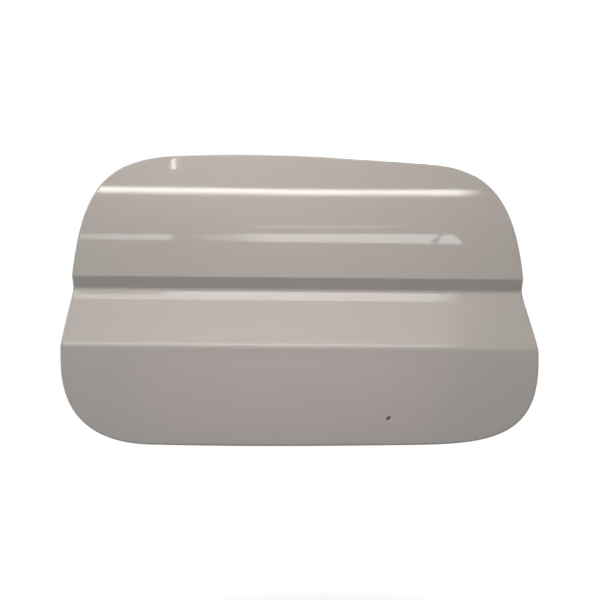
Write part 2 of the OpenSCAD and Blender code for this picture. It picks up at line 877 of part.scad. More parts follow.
// Torsion spring: a leg on the arm, the coil round the pin, and a leg on the base plate
leg_gap = 0.15;
leg_low = seat_y + arm_t + leg_gap + wire_d / 2 - pivot_y;
leg_high = base_back - leg_gap - wire_d / 2;
leg_over = 0.5;
leg_bend = arm_near - leg_over;
// the angle at which the wire leaves the coil, so that it runs straight to the bend
leave_at = 270 - asin(coil_r / norm([leg_bend, leg_low])) + atan2(-leg_low, leg_bend);
turn_steps = 14;
total_turn = coil_turns * 360 - (leave_at - 180);
coil_rings = ceil(coil_turns * turn_steps);
coil_low = -coil_turns * coil_pitch / 2;

spring_path = concat(
    [[-arm_leg, leg_low, coil_low], [-leg_bend, leg_low, coil_low]],
    [for (i = [0:coil_rings])
        let (a = leave_at + total_turn * i / coil_rings)
        [coil_r * cos(a), coil_r * sin(a), coil_low + coil_turns * coil_pitch * i / coil_rings]],
    [[-coil_r, leg_high - 1, -coil_low], [-coil_r - 1, leg_high, -coil_low],
     [-coil_r - base_leg, leg_high, -coil_low]]
);

function unit(v) = v / norm(v);
function tangent(path, i) =
    unit(path[min(i + 1, len(path) - 1)] - path[max(i - 1, 0)]);
function ring_at(path, i, r, sides) =
    let (
        d = tangent(path, i),
        side = unit(cross(d, [0, 0, 1])),
        up = cross(side, d)
    )
    [for (k = [0:sides - 1]) path[i] + r * (cos(360 * k / sides) * side + sin(360 * k / sides) * up)];

module swept_wire(path, r, sides = 8) {
    n = len(path);
    points = [for (i = [0:n - 1]) each ring_at(path, i, r, sides)];
    sides_of_wire = [
        for (i = [0:n - 2], k = [0:sides - 1])
            let (next = (k + 1) % sides)
            [i * sides + k, i * sides + next, (i + 1) * sides + next, (i + 1) * sides + k]
    ];
    first_cap = [[for (k = [sides - 1:-1:0]) k]];
    last_cap = [[for (k = [0:sides - 1]) (n - 1) * sides + k]];
    polyhedron(points, concat(sides_of_wire, first_cap, last_cap));
}

module torsion_spring() {
    color([0.35, 0.35, 0.36]) placed() translate([pivot_x, pivot_y, pivot_z])
        swept_wire(spring_path, wire_d / 2);
}

outer_skin();
inner_panel();
hem_sealer();
mastic_pads();
hinge_arm();
arm_rivets();
bush_upper();
bush_lower();
latch_striker();
striker_rivets();
bumper_upper();
bumper_lower();
cap_holder();
holder_clips();
hinge_base();
hinge_pin();
pin_clip();
torsion_spring();
stop_buffers();
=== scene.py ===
"""Looks of a car fuel door: a creased, painted steel skin hemmed over a pressed inner panel.

Sizes are in millimetres in the door's own frame (X along the car, Z up, the painted face towards
-Y, zero at the middle of the outline and at the shoulder crease). They are moved to the model's
frame, in metres, when a mesh is made.
"""

import json
import logging
import math
from dataclasses import dataclass
from enum import Enum

import bmesh
import bpy
import numpy as np
from bpy.types import ID, Material, Node, NodeSocket, NodeTree, Object
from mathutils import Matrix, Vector
from mathutils.geometry import delaunay_2d_cdt


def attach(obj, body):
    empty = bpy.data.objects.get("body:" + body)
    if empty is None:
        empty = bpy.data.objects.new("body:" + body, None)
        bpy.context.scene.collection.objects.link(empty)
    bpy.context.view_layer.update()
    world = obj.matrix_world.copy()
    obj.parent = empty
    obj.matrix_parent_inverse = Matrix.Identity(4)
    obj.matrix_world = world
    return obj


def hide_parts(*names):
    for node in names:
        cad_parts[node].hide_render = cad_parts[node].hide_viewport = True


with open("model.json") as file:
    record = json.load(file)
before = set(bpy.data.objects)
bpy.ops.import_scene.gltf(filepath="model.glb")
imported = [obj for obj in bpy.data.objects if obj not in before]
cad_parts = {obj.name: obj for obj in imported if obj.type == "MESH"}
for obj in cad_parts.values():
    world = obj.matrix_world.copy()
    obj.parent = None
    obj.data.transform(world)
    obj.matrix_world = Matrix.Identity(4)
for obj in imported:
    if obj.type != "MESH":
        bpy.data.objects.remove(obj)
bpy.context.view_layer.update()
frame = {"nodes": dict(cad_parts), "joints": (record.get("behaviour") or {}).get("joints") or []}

LOG = logging.getLogger("fuel_door")
Pair = tuple[float, float]
Pairs = tuple[Pair, ...]
Triple = tuple[float, float, float]
MM = 0.001
PIN_IN_DOOR_FRAME = np.array([66.0, 18.5, 2.0])
NEAR_RIM = np.array([0.35, 0.9, 1.8, 3.2])


class Body(Enum):
    """The two bodies that the pieces ride on."""

    DOOR = "door"
    BASE = "base"


class Slot(Enum):
    """The record's material slots."""

    PAINT = "body_paint"
    PLATED = "plated_steel"
    SPRING = "spring_steel"
    NYLON = "nylon"
    RUBBER = "black_rubber"
    PLASTIC = "black_plastic"
    SEALER = "sealer"
    MASTIC = "mastic"


def to_model(points: np.ndarray) -> np.ndarray:
    """Moves points from the door's frame to the model's frame.

    Args:
        points: rows of x, y, z in millimetres.

    Returns:
        The same points in metres, set by where the hinge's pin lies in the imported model.
    """
    pin = np.array(frame["joints"][0]["pos_m"], float)
    return (np.asarray(points, float) - PIN_IN_DOOR_FRAME) * MM + pin


# Scene and node helpers


def placed(name: str, data: ID) -> Object:
    """Adds an object with this data to the scene."""
    made = bpy.data.objects.new(name, data)
    bpy.context.scene.collection.objects.link(made)
    return made


class Wires:
    """Short hand for adding nodes to a tree and joining them."""

    prefix = "ShaderNode"

    def __init__(self, tree: NodeTree) -> None:
        """Takes the tree to work on."""
        self.tree = tree

    def link(self, source: NodeSocket, target: NodeSocket) -> None:
        """Joins two sockets."""
        self.tree.links.new(source, target)

    def put(self, socket: NodeSocket, value: object) -> None:
        """Joins an input to another node's socket, or gives it a plain value."""
        if isinstance(value, NodeSocket):
            self.link(value, socket)
        else:
            socket.default_value = value

    def add(self, kind: str, **values: object) -> Node:
        """Adds a node, sets its properties and its inputs.

        Args:
            kind: the node's type name after the prefix.
            values: a property, or an input with underscores for spaces.

        Returns:
            The new node.
        """
        node = self.tree.nodes.new(self.prefix + kind)
        for key, value in values.items():
            if hasattr(node, key):
                setattr(node, key, value)
            else:
                self.put(node.inputs[key.replace("_", " ")], value)
        return node

    def math(self, operation: str, *inputs: object) -> NodeSocket:
        """Adds a Math node.

        Args:
            operation: the node's operation.
            inputs: sockets or numbers for its inputs, in order.

        Returns:
            The result's socket.
        """
        node = self.tree.nodes.new("ShaderNodeMath")
        node.operation = operation
        for socket, value in zip(node.inputs, inputs):
            self.put(socket, value)
        return node.outputs[0]

    def looked_at(self) -> NodeSocket:
        """Gives 1 to rays of the camera, the gloss and glass, and 0 to those that carry light."""
        rays = self.add("LightPath").outputs
        either = self.math("MAXIMUM", rays["Is Camera Ray"], rays["Is Glossy Ray"])
        return self.math("MAXIMUM", either, rays["Is Transmission Ray"])

    def mixed(self, share: NodeSocket, first: Node, second: Node) -> Node:
        """Mixes two shaders: the first at a share of 0, the second at 1."""
        mix = self.add("MixShader", Fac=share)
        self.link(first.outputs[0], mix.inputs[1])
        self.link(second.outputs[0], mix.inputs[2])
        return mix


class Nodes(Wires):
    """One material's node tree."""

    def __init__(self, name: str) -> None:
        """Makes an empty node material of this name."""
        self.material = bpy.data.materials.new(name)
        self.material.use_nodes = True
        super().__init__(self.material.node_tree)
        self.tree.nodes.clear()
        self.output = self.add("OutputMaterial")
        self.place = self.add("TexCoord").outputs["Object"]

    def noise(self, scale: float, detail: float = 3.0, rough: float = 0.5) -> NodeSocket:
        """Adds a noise texture on the object's own coordinates.

        Args:
            scale: noise scale, per metre.
            detail: number of octaves.
            rough: share of each further octave.

        Returns:
            The noise's Fac socket.
        """
        node = self.add("TexNoise", Vector=self.place, Scale=scale, Detail=detail, Roughness=rough)
        return node.outputs["Fac"]

    def ramp(self, value: NodeSocket, low: float, high: float,
             first: tuple[float, ...], last: tuple[float, ...]) -> NodeSocket:
        """Turns a value into a colour between two.

        Args:
            value: the value's socket.
            low: value at which the first colour ends.
            high: value at which the last colour starts.
            first: colour below low.
            last: colour above high.

        Returns:
            The colour's socket.
        """
        node = self.add("ValToRGB", Fac=value)
        for end, at, colour in zip(node.color_ramp.elements, (low, high), (first, last)):
            end.position = at
            end.color = (*colour[:3], 1)
        return node.outputs[0]

    def span(self, value: NodeSocket, low: float, high: float, first: float, last: float) -> NodeSocket:
        """Maps a value's range to another, held at its ends."""
        node = self.add("MapRange", Value=value, From_Min=low, From_Max=high, To_Min=first, To_Max=last)
        return node.outputs[0]

    def bump(self, height: NodeSocket, strength: float, distance: float,
             below: NodeSocket | None = None) -> NodeSocket:
        """Adds a bump.

        Args:
            height: the height's socket.
            strength: share of the bump that shows.
            distance: height in metres.
            below: a normal that this bump adds to.

        Returns:
            The normal's socket.
        """
        node = self.add("Bump", Height=height, Strength=strength, Distance=distance)
        if below is not None:
            self.link(below, node.inputs["Normal"])
        return node.outputs[0]

    def finish(self, shader: Node) -> Material:
        """Joins the shader to the output and hands the material back."""
        self.link(shader.outputs[0], self.output.inputs["Surface"])
        return self.material


# Finishes


@dataclass(frozen=True)
class BodyPaint:
    """Glossy warm light grey car paint under clear coat."""

    colour: Triple = (0.455, 0.418, 0.392)
    drift: float = 0.012
    peel_scale: float = 420.0
    peel_height: float = 0.000012
    coat_roughness: float = 0.035
    chip_at: Pair = (0.0, 0.0)
    chip_size: Pair = (0.0023, 0.0014)
    chip_turn: float = 38.0
    chip_depth: float = 0.00008
    front_y: float = -0.035
    chip_colour: Triple = (0.018, 0.009, 0.008)

    def chip_mask(self, nodes: Nodes) -> NodeSocket:
        """Gives 1 in the chip and 0 round it.

        Args:
            nodes: the material's tree.

        Returns:
            The mask's socket.
        """
        parts = nodes.add("SeparateXYZ", Vector=nodes.place)
        x = nodes.math("SUBTRACT", parts.outputs["X"], self.chip_at[0])
        z = nodes.math("SUBTRACT", parts.outputs["Z"], self.chip_at[1])
        cos = math.cos(math.radians(self.chip_turn))
        sin = math.sin(math.radians(self.chip_turn))
        along = nodes.math("ADD", nodes.math("MULTIPLY", x, cos), nodes.math("MULTIPLY", z, sin))
        over = nodes.math("SUBTRACT", nodes.math("MULTIPLY", z, cos), nodes.math("MULTIPLY", x, sin))
        u = nodes.math("POWER", nodes.math("DIVIDE", along, self.chip_size[0] / 2), 2.0)
        v = nodes.math("POWER", nodes.math("DIVIDE", over, self.chip_size[1] / 2), 2.0)
        ragged = nodes.math("MULTIPLY", nodes.math("SUBTRACT", nodes.noise(2600, 2), 0.5), 1.4)
        reach = nodes.math("ADD", nodes.math("SQRT", nodes.math("ADD", u, v)), ragged)
        front = nodes.math("LESS_THAN", parts.outputs["Y"], self.front_y)
        return nodes.math("MULTIPLY", nodes.span(reach, 0.9, 1.1, 1.0, 0.0), front)

    def material(self) -> Material:
        """Makes the paint."""
        nodes = Nodes("body_paint_outer")
        light = tuple(c * (1 + self.drift) for c in self.colour)
        dark = tuple(c * (1 - self.drift) for c in self.colour)
        base = nodes.ramp(nodes.noise(14, 4), 0.35, 0.65, dark, light)
        dust = nodes.span(nodes.noise(1800, 2, 0.6), 0.68, 0.8, 0.0, 0.05)
        dusty = nodes.add("MixRGB", Fac=dust, Color1=base, Color2=(0.6, 0.58, 0.55, 1))
        mask = self.chip_mask(nodes)
        chipped = nodes.add("MixRGB", Fac=mask, Color1=dusty.outputs[0], Color2=(*self.chip_colour, 1))
        peel = nodes.bump(nodes.noise(self.peel_scale, 2, 0.4), 0.35, self.peel_height)
        sunk = nodes.bump(nodes.math("SUBTRACT", 1.0, mask), 1.0, self.chip_depth, peel)
        shader = nodes.add(
            "BsdfPrincipled", Base_Color=chipped.outputs[0], Metallic=0.0,
            Roughness=nodes.span(nodes.noise(260, 3), 0.3, 0.7, 0.38, 0.46), Normal=sunk, Coat_Normal=sunk,
            Coat_Weight=1.0, Coat_Roughness=self.coat_roughness, Coat_IOR=1.5, Specular_IOR_Level=0.3,
        )
        return nodes.finish(shader)


@dataclass(frozen=True)
class InnerPaint:
    """The thinner, flatter coat of the same paint inside."""

    colour: Triple = (0.42, 0.386, 0.36)

    def material(self) -> Material:
        """Makes the paint."""
        nodes = Nodes("body_paint_inner")
        broad = nodes.noise(30, 5, 0.6)
        dark = tuple(c * 0.93 for c in self.colour)
        base = nodes.ramp(broad, 0.35, 0.65, dark, self.colour)
        grime = nodes.span(nodes.noise(90, 6, 0.7), 0.55, 0.8, 0.0, 0.25)
        dusty = nodes.add("MixRGB", Fac=grime, Color1=base, Color2=(0.3, 0.275, 0.245, 1))
        peel = nodes.bump(nodes.noise(650, 3, 0.5), 0.6, 0.00004)
        shader = nodes.add(
            "BsdfPrincipled", Base_Color=dusty.outputs[0], Metallic=0.0,
            Roughness=nodes.span(nodes.noise(160, 4), 0.3, 0.7, 0.34, 0.55),
            Normal=peel, Coat_Normal=peel, Coat_Weight=0.45, Coat_Roughness=0.18,
        )
        return nodes.finish(shader)


@dataclass(frozen=True)
class Metal:
    """Plated or dark spring steel."""

    name: str
    colour: Triple
    stain: Triple
    roughness: Pair

    def material(self) -> Material:
        """Makes the metal."""
        nodes = Nodes(self.name)
        base = nodes.ramp(nodes.noise(220, 5, 0.65), 0.38, 0.68, self.colour, self.stain)
        scratches = nodes.noise(900, 3, 0.6)
        shader = nodes.add(
            "BsdfPrincipled", Base_Color=base, Metallic=1.0,
            Roughness=nodes.span(scratches, 0.3, 0.7, *self.roughness),
            Normal=nodes.bump(scratches, 0.4, 0.00003),
        )
        return nodes.finish(shader)


@dataclass(frozen=True)
class Moulded:
    """Rubber, nylon or plastic out of a mould."""

    name: str
    colour: Triple
    dust: Triple
    roughness: Pair
    grain_scale: float
    grain_height: float
    specular: float = 0.5

    def material(self) -> Material:
        """Makes the moulded finish."""
        nodes = Nodes(self.name)
        patches = nodes.noise(120, 6, 0.7)
        base = nodes.ramp(patches, 0.4, 0.8, self.colour, self.dust)
        grain = nodes.noise(self.grain_scale, 2, 0.5)
        shader = nodes.add(
            "BsdfPrincipled", Base_Color=base, Metallic=0.0,
            Roughness=nodes.span(patches, 0.3, 0.7, *self.roughness),
            Normal=nodes.bump(grain, 0.6, self.grain_height), Specular_IOR_Level=self.specular,
        )
        return nodes.finish(shader)


@dataclass(frozen=True)
class PaleFloor:
    """Pale floor: plain near the door, where it keeps the shadow, and white further off."""

    colour: Triple = (0.82, 0.82, 0.82)
    near: float = 0.31
    far: float = 0.48

    def material(self) -> Material:
        """Makes the floor."""
        nodes = Nodes("pale_floor")
        plain = nodes.add("BsdfDiffuse", Color=(*self.colour, 1))
        white = nodes.add("Emission", Color=(1, 1, 1, 1), Strength=1.0)
        length = nodes.add("VectorMath", operation="LENGTH")
        nodes.link(nodes.place, length.inputs[0])
        away = nodes.span(length.outputs["Value"], self.near, self.far, 0.0, 1.0)
        return nodes.finish(nodes.mixed(nodes.math("MULTIPLY", away, nodes.looked_at()), plain, white))


# The door's form


@dataclass(frozen=True)
class Corner:
    """One corner of the outline; each pair gives the top or bottom edge first, then the side."""

    side: tuple[int, int]
    size: Pair
    inset: Pair
    lean: Pair
    reach: Pair


@dataclass(frozen=True)
class DoorOutline:
    """The door's outline: four bowed edges between four long soft corners."""

    width: float = 208.5
    height: float = 131.0
    top_left: Corner = Corner((-1, 1), (44.7, 54.1), (0.4, 1.6), (3.3, 6.1), (33.8, 34.3))
    top_right: Corner = Corner((1, 1), (44.2, 59.5), (3.1, 3.1), (4.0, 5.0), (31.0, 33.9))
    low_right: Corner = Corner((1, -1), (53.7, 28.8), (1.1, 0.25), (1.3, 7.0), (29.2, 25.0))
    low_left: Corner = Corner((-1, -1), (39.1, 36.3), (0.25, 0.15), (1.0, 0.9), (27.6, 21.4))
    curve_steps: int = 400
    spacing: float = 1.5
    fine_spacing: float = 0.35
    fine_zones: Pairs = ((-25.0, -18.0), (-3.0, 12.0))

    def _end(self, c: Corner, side: int, out: float = 0.0) -> np.ndarray:
        """A corner's end on the top or bottom (side 0) or on its side (1), or further along the tangent."""
        lean = math.radians(c.lean[side])
        along, across = c.size[side] + out * math.cos(lean), c.inset[side] - out * math.sin(lean)
        u, v = (across, along) if side else (along, across)
        return np.array([c.side[0] * (self.width / 2 - u), c.side[1] * (self.height / 2 - v)])

    def _curve(self, p: np.ndarray, q: np.ndarray, r: np.ndarray, s: np.ndarray) -> np.ndarray:
        """Fine points on a cubic curve, without its last."""
        t = np.linspace(0, 1, self.curve_steps, endpoint=False)[:, None]
        return (1 - t) ** 3 * p + 3 * (1 - t) ** 2 * t * q + 3 * (1 - t) * t * t * r + t ** 3 * s

    def _corner(self, c: Corner) -> np.ndarray:
        """Fine points round a corner, from its side to its top or bottom edge."""
        return self._curve(self._end(c, 1), self._end(c, 1, -c.reach[1]),
                           self._end(c, 0, -c.reach[0]), self._end(c, 0))

    def fine(self) -> np.ndarray:
        """Very fine points all round, clockwise as seen in the photo.

        Returns:
            Rows of x, z.
        """
        def edge(side: int, a: Corner, b: Corner) -> np.ndarray:
            """Fine points of the bowed edge between two corners."""
            first, last = self._end(a, side), self._end(b, side)
            third = float(np.linalg.norm(last - first)) / 3
            return self._curve(first, self._end(a, side, third), self._end(b, side, third), last)

        corners = (self.top_left, self.top_right, self.low_right, self.low_left)
        parts = []
        for k, corner in enumerate(corners):
            parts += [self._corner(corner)[::1 - 2 * (k % 2)], edge(k % 2, corner, corners[(k + 1) % 4])]
        return np.vstack(parts)

    def points(self) -> tuple[np.ndarray, np.ndarray]:
        """Points round the outline, closer together where the creases cross it.

        Returns:
            Rows of x, z, and the outward unit normal at each.
        """
        def steps(ring: np.ndarray) -> np.ndarray:
            """Distance from each point of a ring to the next."""
            return np.linalg.norm(np.roll(ring, -1, axis=0) - ring, axis=1)

        fine = self.fine()
        fine = fine[steps(fine) > 1e-9]
        length = steps(fine)
        close = np.zeros(len(fine), bool)
        for low, high in self.fine_zones:
            close |= (fine[:, 1] > low) & (fine[:, 1] < high)
        weight = length / np.where(close, self.fine_spacing, self.spacing)
        run = np.concatenate([[0], np.cumsum(weight)])
        count = int(round(run[-1]))
        at = np.arange(count) * run[-1] / count
        closed = np.vstack([fine, fine[:1]])
        points = np.stack([np.interp(at, run, closed[:, k]) for k in (0, 1)], axis=1)
        along = np.roll(points, -1, axis=0) - np.roll(points, 1, axis=0)
        along /= np.linalg.norm(along, axis=1)[:, None]
        return points, np.stack([-along[:, 1], along[:, 0]], axis=1)


@dataclass(frozen=True)
class FrontProfile:
    """The painted face in section: bowed upper panel, shoulder, valley, facet, crease, lower panel."""

    shoulder_z: float = 9.1
    valley: Pair = (4.0, 3.3)
    shelf: Pair = (1.9, -1.2)
    crease: Pair = (-11.0, -21.7)
    shoulder_r: float = 1.8
    valley_r: float = 2.0
    shelf_r: float = 10.0
    crease_r: float = 4.0
    upper_bow_r: float = 220.0
    lower_bow_r: float = 600.0
    panel_lean: float = 1.7
    reach: float = 84.0
    step: float = 0.02
    round_points: int = 48
    panel_points: int = 160

    def _round(self, p: np.ndarray, corner: np.ndarray, q: np.ndarray, r: float) -> np.ndarray:
        """Points of a round of radius r in a corner of the section."""
        a = (p - corner) / np.linalg.norm(p - corner)
        b = (q - corner) / np.linalg.norm(q - corner)
        half = math.acos(float(a @ b)) / 2
        centre = corner + (a + b) / np.linalg.norm(a + b) * r / math.sin(half)
        start = corner + a * r / math.tan(half) - centre
        end = corner + b * r / math.tan(half) - centre
        first = math.atan2(start[1], start[0])
        turn = (math.atan2(end[1], end[0]) - first + math.pi) % (2 * math.pi) - math.pi
        angle = first + turn * np.linspace(0, 1, self.round_points)
        return centre + r * np.stack([np.cos(angle), np.sin(angle)], axis=1)

    def upper(self, h: np.ndarray) -> np.ndarray:
        """Points of the upper panel, a height h above the shoulder."""
        y = h ** 2 / (2 * self.upper_bow_r) + h * math.tan(math.radians(self.panel_lean))
        return np.stack([y, self.shoulder_z + h], axis=1)

    def lower(self, h: np.ndarray) -> np.ndarray:
        """Points of the lower panel, a distance h below the crease."""
        y = self.crease[0] + h ** 2 / (2 * self.lower_bow_r) + h * math.tan(math.radians(self.panel_lean))
        return np.stack([y, self.crease[1] - h], axis=1)

    def line(self) -> np.ndarray:
        """The whole section from top to bottom.

        Returns:
            Rows of y, z.
        """
        shoulder = np.array([0.0, self.shoulder_z])
        valley = np.array(self.valley)
        shelf = np.array(self.shelf)
        crease = np.array(self.crease)
        above = self.upper(np.array([1.0]))[0]
        below = self.lower(np.array([1.0]))[0]
        return np.vstack([
            self.upper(np.linspace(self.reach - self.shoulder_z, self.shoulder_r, self.panel_points)),
            self._round(above, shoulder, valley, self.shoulder_r),
            self._round(shoulder, valley, shelf, self.valley_r),
            self._round(valley, shelf, crease, self.shelf_r),
            self._round(shelf, crease, below, self.crease_r),
            self.lower(np.linspace(self.crease_r, self.reach + self.crease[1], self.panel_points)),
        ])


class DoorForm:
    """The outline and the section together, and the faces that lie behind the painted one."""

    def __init__(self, outline: DoorOutline, profile: FrontProfile) -> None:
        """Works out the outline's points and the section's table.

        Args:
            outline: the door's outline.
            profile: the painted face's section.
        """
        self.outline = outline
        self.profile = profile
        self.edge, self.outward = outline.points()
        line = profile.line()
        order = np.argsort(line[:, 1])
        self.table_z = np.arange(-profile.reach, profile.reach, profile.step)
        self.table_y = np.interp(self.table_z, line[order, 1], line[order, 0])
        self._depths: dict[float, np.ndarray] = {0.0: self.table_y}

    def face_table(self, depth: float) -> np.ndarray:
        """The section of the face that lies a set depth behind the painted one.

        Args:
            depth: distance behind the painted face.

        Returns:
            y at each z of the table.
        """
        key = round(depth, 4)
        if key not in self._depths:
            reach = int(depth / self.profile.step)
            best = np.full(len(self.table_z), -1e9)
            for k in range(-reach, reach + 1):
                rise = math.sqrt(max(depth ** 2 - (k * self.profile.step) ** 2, 0.0))
                best = np.maximum(best, np.roll(self.table_y, k) + rise)
            self._depths[key] = best
        return self._depths[key]

    def face_y(self, z: np.ndarray, depth: float = 0.0) -> np.ndarray:
        """y of a face at heights z, a set depth behind the painted one."""
        return np.interp(z, self.table_z, self.face_table(depth))

    def slope(self, z: np.ndarray, depth: float = 0.0) -> np.ndarray:
        """Slope dy/dz of that face at heights z."""
        h = 0.06
        return (self.face_y(z + h, depth) - self.face_y(z - h, depth)) / (2 * h)

    def backward(self, z: np.ndarray, depth: float = 0.0) -> np.ndarray:
        """Unit normals of that face at heights z, pointing backwards."""
        slope = self.slope(z, depth)
        size = np.sqrt(1 + slope ** 2)
        return np.stack([np.zeros(len(z)), 1 / size, -slope / size], axis=1)

    def at(self, plan: np.ndarray, depth: float = 0.0) -> np.ndarray:
        """Points x, y, z of that face at plan points x, z."""
        return spatial(plan, self.face_y(plan[:, 1], depth))

    def inset(self, distance: float) -> np.ndarray:
        """The outline moved inwards, as plan points x, z."""
        return self.edge - self.outward * distance

    def inside(self, plan: np.ndarray) -> np.ndarray:
        """Distance of plan points from the outline, positive inside.

        Args:
            plan: rows of x, z.

        Returns:
            One distance for each row.
        """
        a = self.edge
        ab = np.roll(a, -1, axis=0) - a
        size = (ab ** 2).sum(1)
        best = np.full(len(plan), 1e9)
        sign = np.ones(len(plan))
        for start in range(0, len(plan), 2000):
            p = plan[start:start + 2000]
            ap = p[:, None, :] - a[None]
            t = np.clip((ap * ab[None]).sum(2) / size[None], 0, 1)
            gap = np.linalg.norm(ap - t[..., None] * ab[None], axis=2)
            k = gap.argmin(1)
            best[start:start + 2000] = gap[np.arange(len(p)), k]
            side = ((p - a[k]) * self.outward[k]).sum(1)
            sign[start:start + 2000] = np.where(side < 0, 1.0, -1.0)
        return best * sign

    def rows(self, turn: float, widest: float) -> np.ndarray:
        """Heights for the mesh's rows, close together where the section bends.

        Args:
            turn: most degrees that the face turns from one row to the next.
            widest: most millimetres between two rows.

        Returns:
            Heights from the bottom up.
        """
        low, high = -self.outline.height / 2, self.outline.height / 2
        step = 0.05
        z = np.arange(low, high, step)
        tilt = np.degrees(np.arctan(self.slope(z)))
        run = np.concatenate([[0], np.cumsum(np.abs(np.diff(tilt)) / turn + step / widest)])
        return np.interp(np.arange(1, int(run[-1])), run, z)


# Mesh helpers


def spatial(plan: np.ndarray, y: np.ndarray) -> np.ndarray:
    """Puts plan points x, z and their y together."""
    return np.stack([plan[:, 0], y, plan[:, 1]], axis=1)


def drawn(name: str, points: np.ndarray, edges: list | tuple = (),
          faces: list | tuple = ()) -> Object:
    """Adds a mesh object from points in the door's frame, its edges and its faces."""
    mesh = bpy.data.meshes.new(name)
    mesh.from_pydata(to_model(points).tolist(), edges, faces)
    return placed(name, mesh)


class Shell:
    """Points, faces and shading normals of a mesh under construction, in the door's frame."""

    def __init__(self) -> None:
        """Starts with nothing."""
        self.points: list[np.ndarray] = []
        self.normals: list[np.ndarray] = []
        self.faces: list[tuple[int, ...]] = []
        self.count = 0

    def add(self, points: np.ndarray, normals: np.ndarray) -> int:
        """Adds points with their normals and gives the first one's number."""
        first = self.count
        self.points.append(np.asarray(points, float))
        self.normals.append(np.asarray(normals, float))
        self.count += len(points)
        return first

    def band(self, first: int, second: int, count: int) -> None:
        """Joins two closed rings of as many points with quads."""
        for i in range(count):
            j = (i + 1) % count
            self.faces.append((first + i, first + j, second + j, second + i))

    def build(self, name: str) -> Object:
        """Makes the object, with each face turned to agree with its normals.

        Args:
            name: the piece's name.

        Returns:
            The new object, at the origin.
        """
        points = np.vstack(self.points)
        normals = np.vstack(self.normals)
        normals /= np.linalg.norm(normals, axis=1)[:, None]
        faces = []
        for face in self.faces:
            a, b, c = points[face[0]], points[face[1]], points[face[2]]
            turned = np.cross(b - a, c - a)
            if len(face) == 4:
                turned = np.cross(c - a, points[face[3]] - b)
            if turned @ normals[list(face)].sum(0) < 0:
                face = tuple(reversed(face))
            faces.append(face)
        made = drawn(name, points, faces=faces)
        made.data.update()
        made.data.polygons.foreach_set("use_smooth", [True] * len(faces))
        made.data.normals_split_custom_set_from_vertices([tuple(n) for n in normals])
        return made


def net(rings: list[np.ndarray], loose: np.ndarray) -> tuple[np.ndarray, list[tuple[int, ...]]]:
    """Triangulates a plan between closed rings; the first is the rim and the others are holes.

    Args:
        rings: closed rings of plan points, which keep their edges.
        loose: plan points inside the rim.

    Returns:
        All the points, in the order given, and the triangles between them.
    """
    points = np.vstack(rings + [loose])
    edges = []
    start = 0
    for ring in rings:
        count = len(ring)
        edges += [(start + i, start + (i + 1) % count) for i in range(count)]
        start += count
    made = delaunay_2d_cdt([Vector(p) for p in points], edges, [], 1, 1e-7)
    source = [origin[0] if origin else -1 for origin in made[3]]
    faces = []
    for face in made[2]:
        corners = tuple(source[i] for i in face)
        if -1 in corners or len(set(corners)) < 3:
            continue
        middle = points[list(corners)].mean(0)
        if any(in_ring(middle, ring) for ring in rings[1:]):
            continue
        faces.append(corners)
    return points, faces


def row_points(ring: np.ndarray, rows: np.ndarray, spacing: float) -> np.ndarray:
    """Plan points in rows across a ring, closer together where a row nears the ring.

    Args:
        ring: a closed ring of plan points.
        rows: heights of the rows.
        spacing: widest distance between points along a row.

    Returns:
        Rows of x, z, all inside the ring.
    """
    after = np.roll(ring, -1, axis=0)
    points = []
    for z in rows:
        cut = (ring[:, 1] - z) * (after[:, 1] - z) < 0
        if not cut.any():
            continue
        t = (z - ring[cut, 1]) / (after[cut, 1] - ring[cut, 1])
        x = ring[cut, 0] + t * (after[cut, 0] - ring[cut, 0])
        low, high = x.min(), x.max()
        near = NEAR_RIM
        if high - low < 4 * near[-1]:
            continue
        count = max(int((high - low - 2 * near[-1]) / spacing), 1)
        middle = np.linspace(low + near[-1], high - near[-1], count + 1)[1:-1]
        row = np.concatenate([low + near, middle, high - near])
        points.append(np.stack([row, np.full(len(row), z)], axis=1))
    return np.vstack(points)


def in_ring(point: np.ndarray, ring: np.ndarray) -> bool:
    """Whether a plan point lies in a round ring, by its distance from the ring's middle."""
    middle = ring.mean(0)
    return float(((point - middle) ** 2).sum()) < float(((ring[0] - middle) ** 2).sum())


def dress(piece: Object, material: Material, body: Body, slot: Slot, *nodes: str) -> Object:
    """Gives a piece its material and its body, and hides the CAD nodes that it stands for.

    Args:
        piece: the piece.
        material: its finish.
        body: the body that it rides on.
        slot: the record's slot; not used.
        nodes: the CAD nodes that it replaces.

    Returns:
        The piece.
    """
    piece.data.materials.clear()
    piece.data.materials.append(material)
    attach(piece, body.value)
    if nodes:
        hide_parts(*nodes)
    LOG.info("%s: %d faces, on %s", piece.name, len(piece.data.polygons), body.value)
    return piece


def softened(node: str, name: str, width: float, segments: int = 2, angle: float = 28.0) -> Object:
    """A copy of a CAD node with its sharp edges rounded.

    Args:
        node: the CAD node.
        name: the new piece's name.
        width: radius of the edges, in millimetres.
        segments: steps round an edge.
        angle: least angle of an edge that is rounded, in degrees.

    Returns:
        The new piece, at the origin.
    """
    mesh = frame["nodes"][node].data.copy()
    mesh.name = name
    work = bmesh.new()
    work.from_mesh(mesh)
    bmesh.ops.remove_doubles(work, verts=work.verts, dist=2e-6)
    bmesh.ops.dissolve_limit(work, angle_limit=math.radians(0.6), verts=work.verts, edges=work.edges)
    work.to_mesh(mesh)
    work.free()
    piece = placed(name, mesh)
    bevel = piece.modifiers.new("edges", "BEVEL")
    bevel.width = width * MM
    bevel.segments = segments
    bevel.limit_method = "ANGLE"
    bevel.angle_limit = math.radians(angle)
    bevel.use_clamp_overlap = True
    bevel.harden_normals = False
    return plain(piece, smooth_below=32.0)


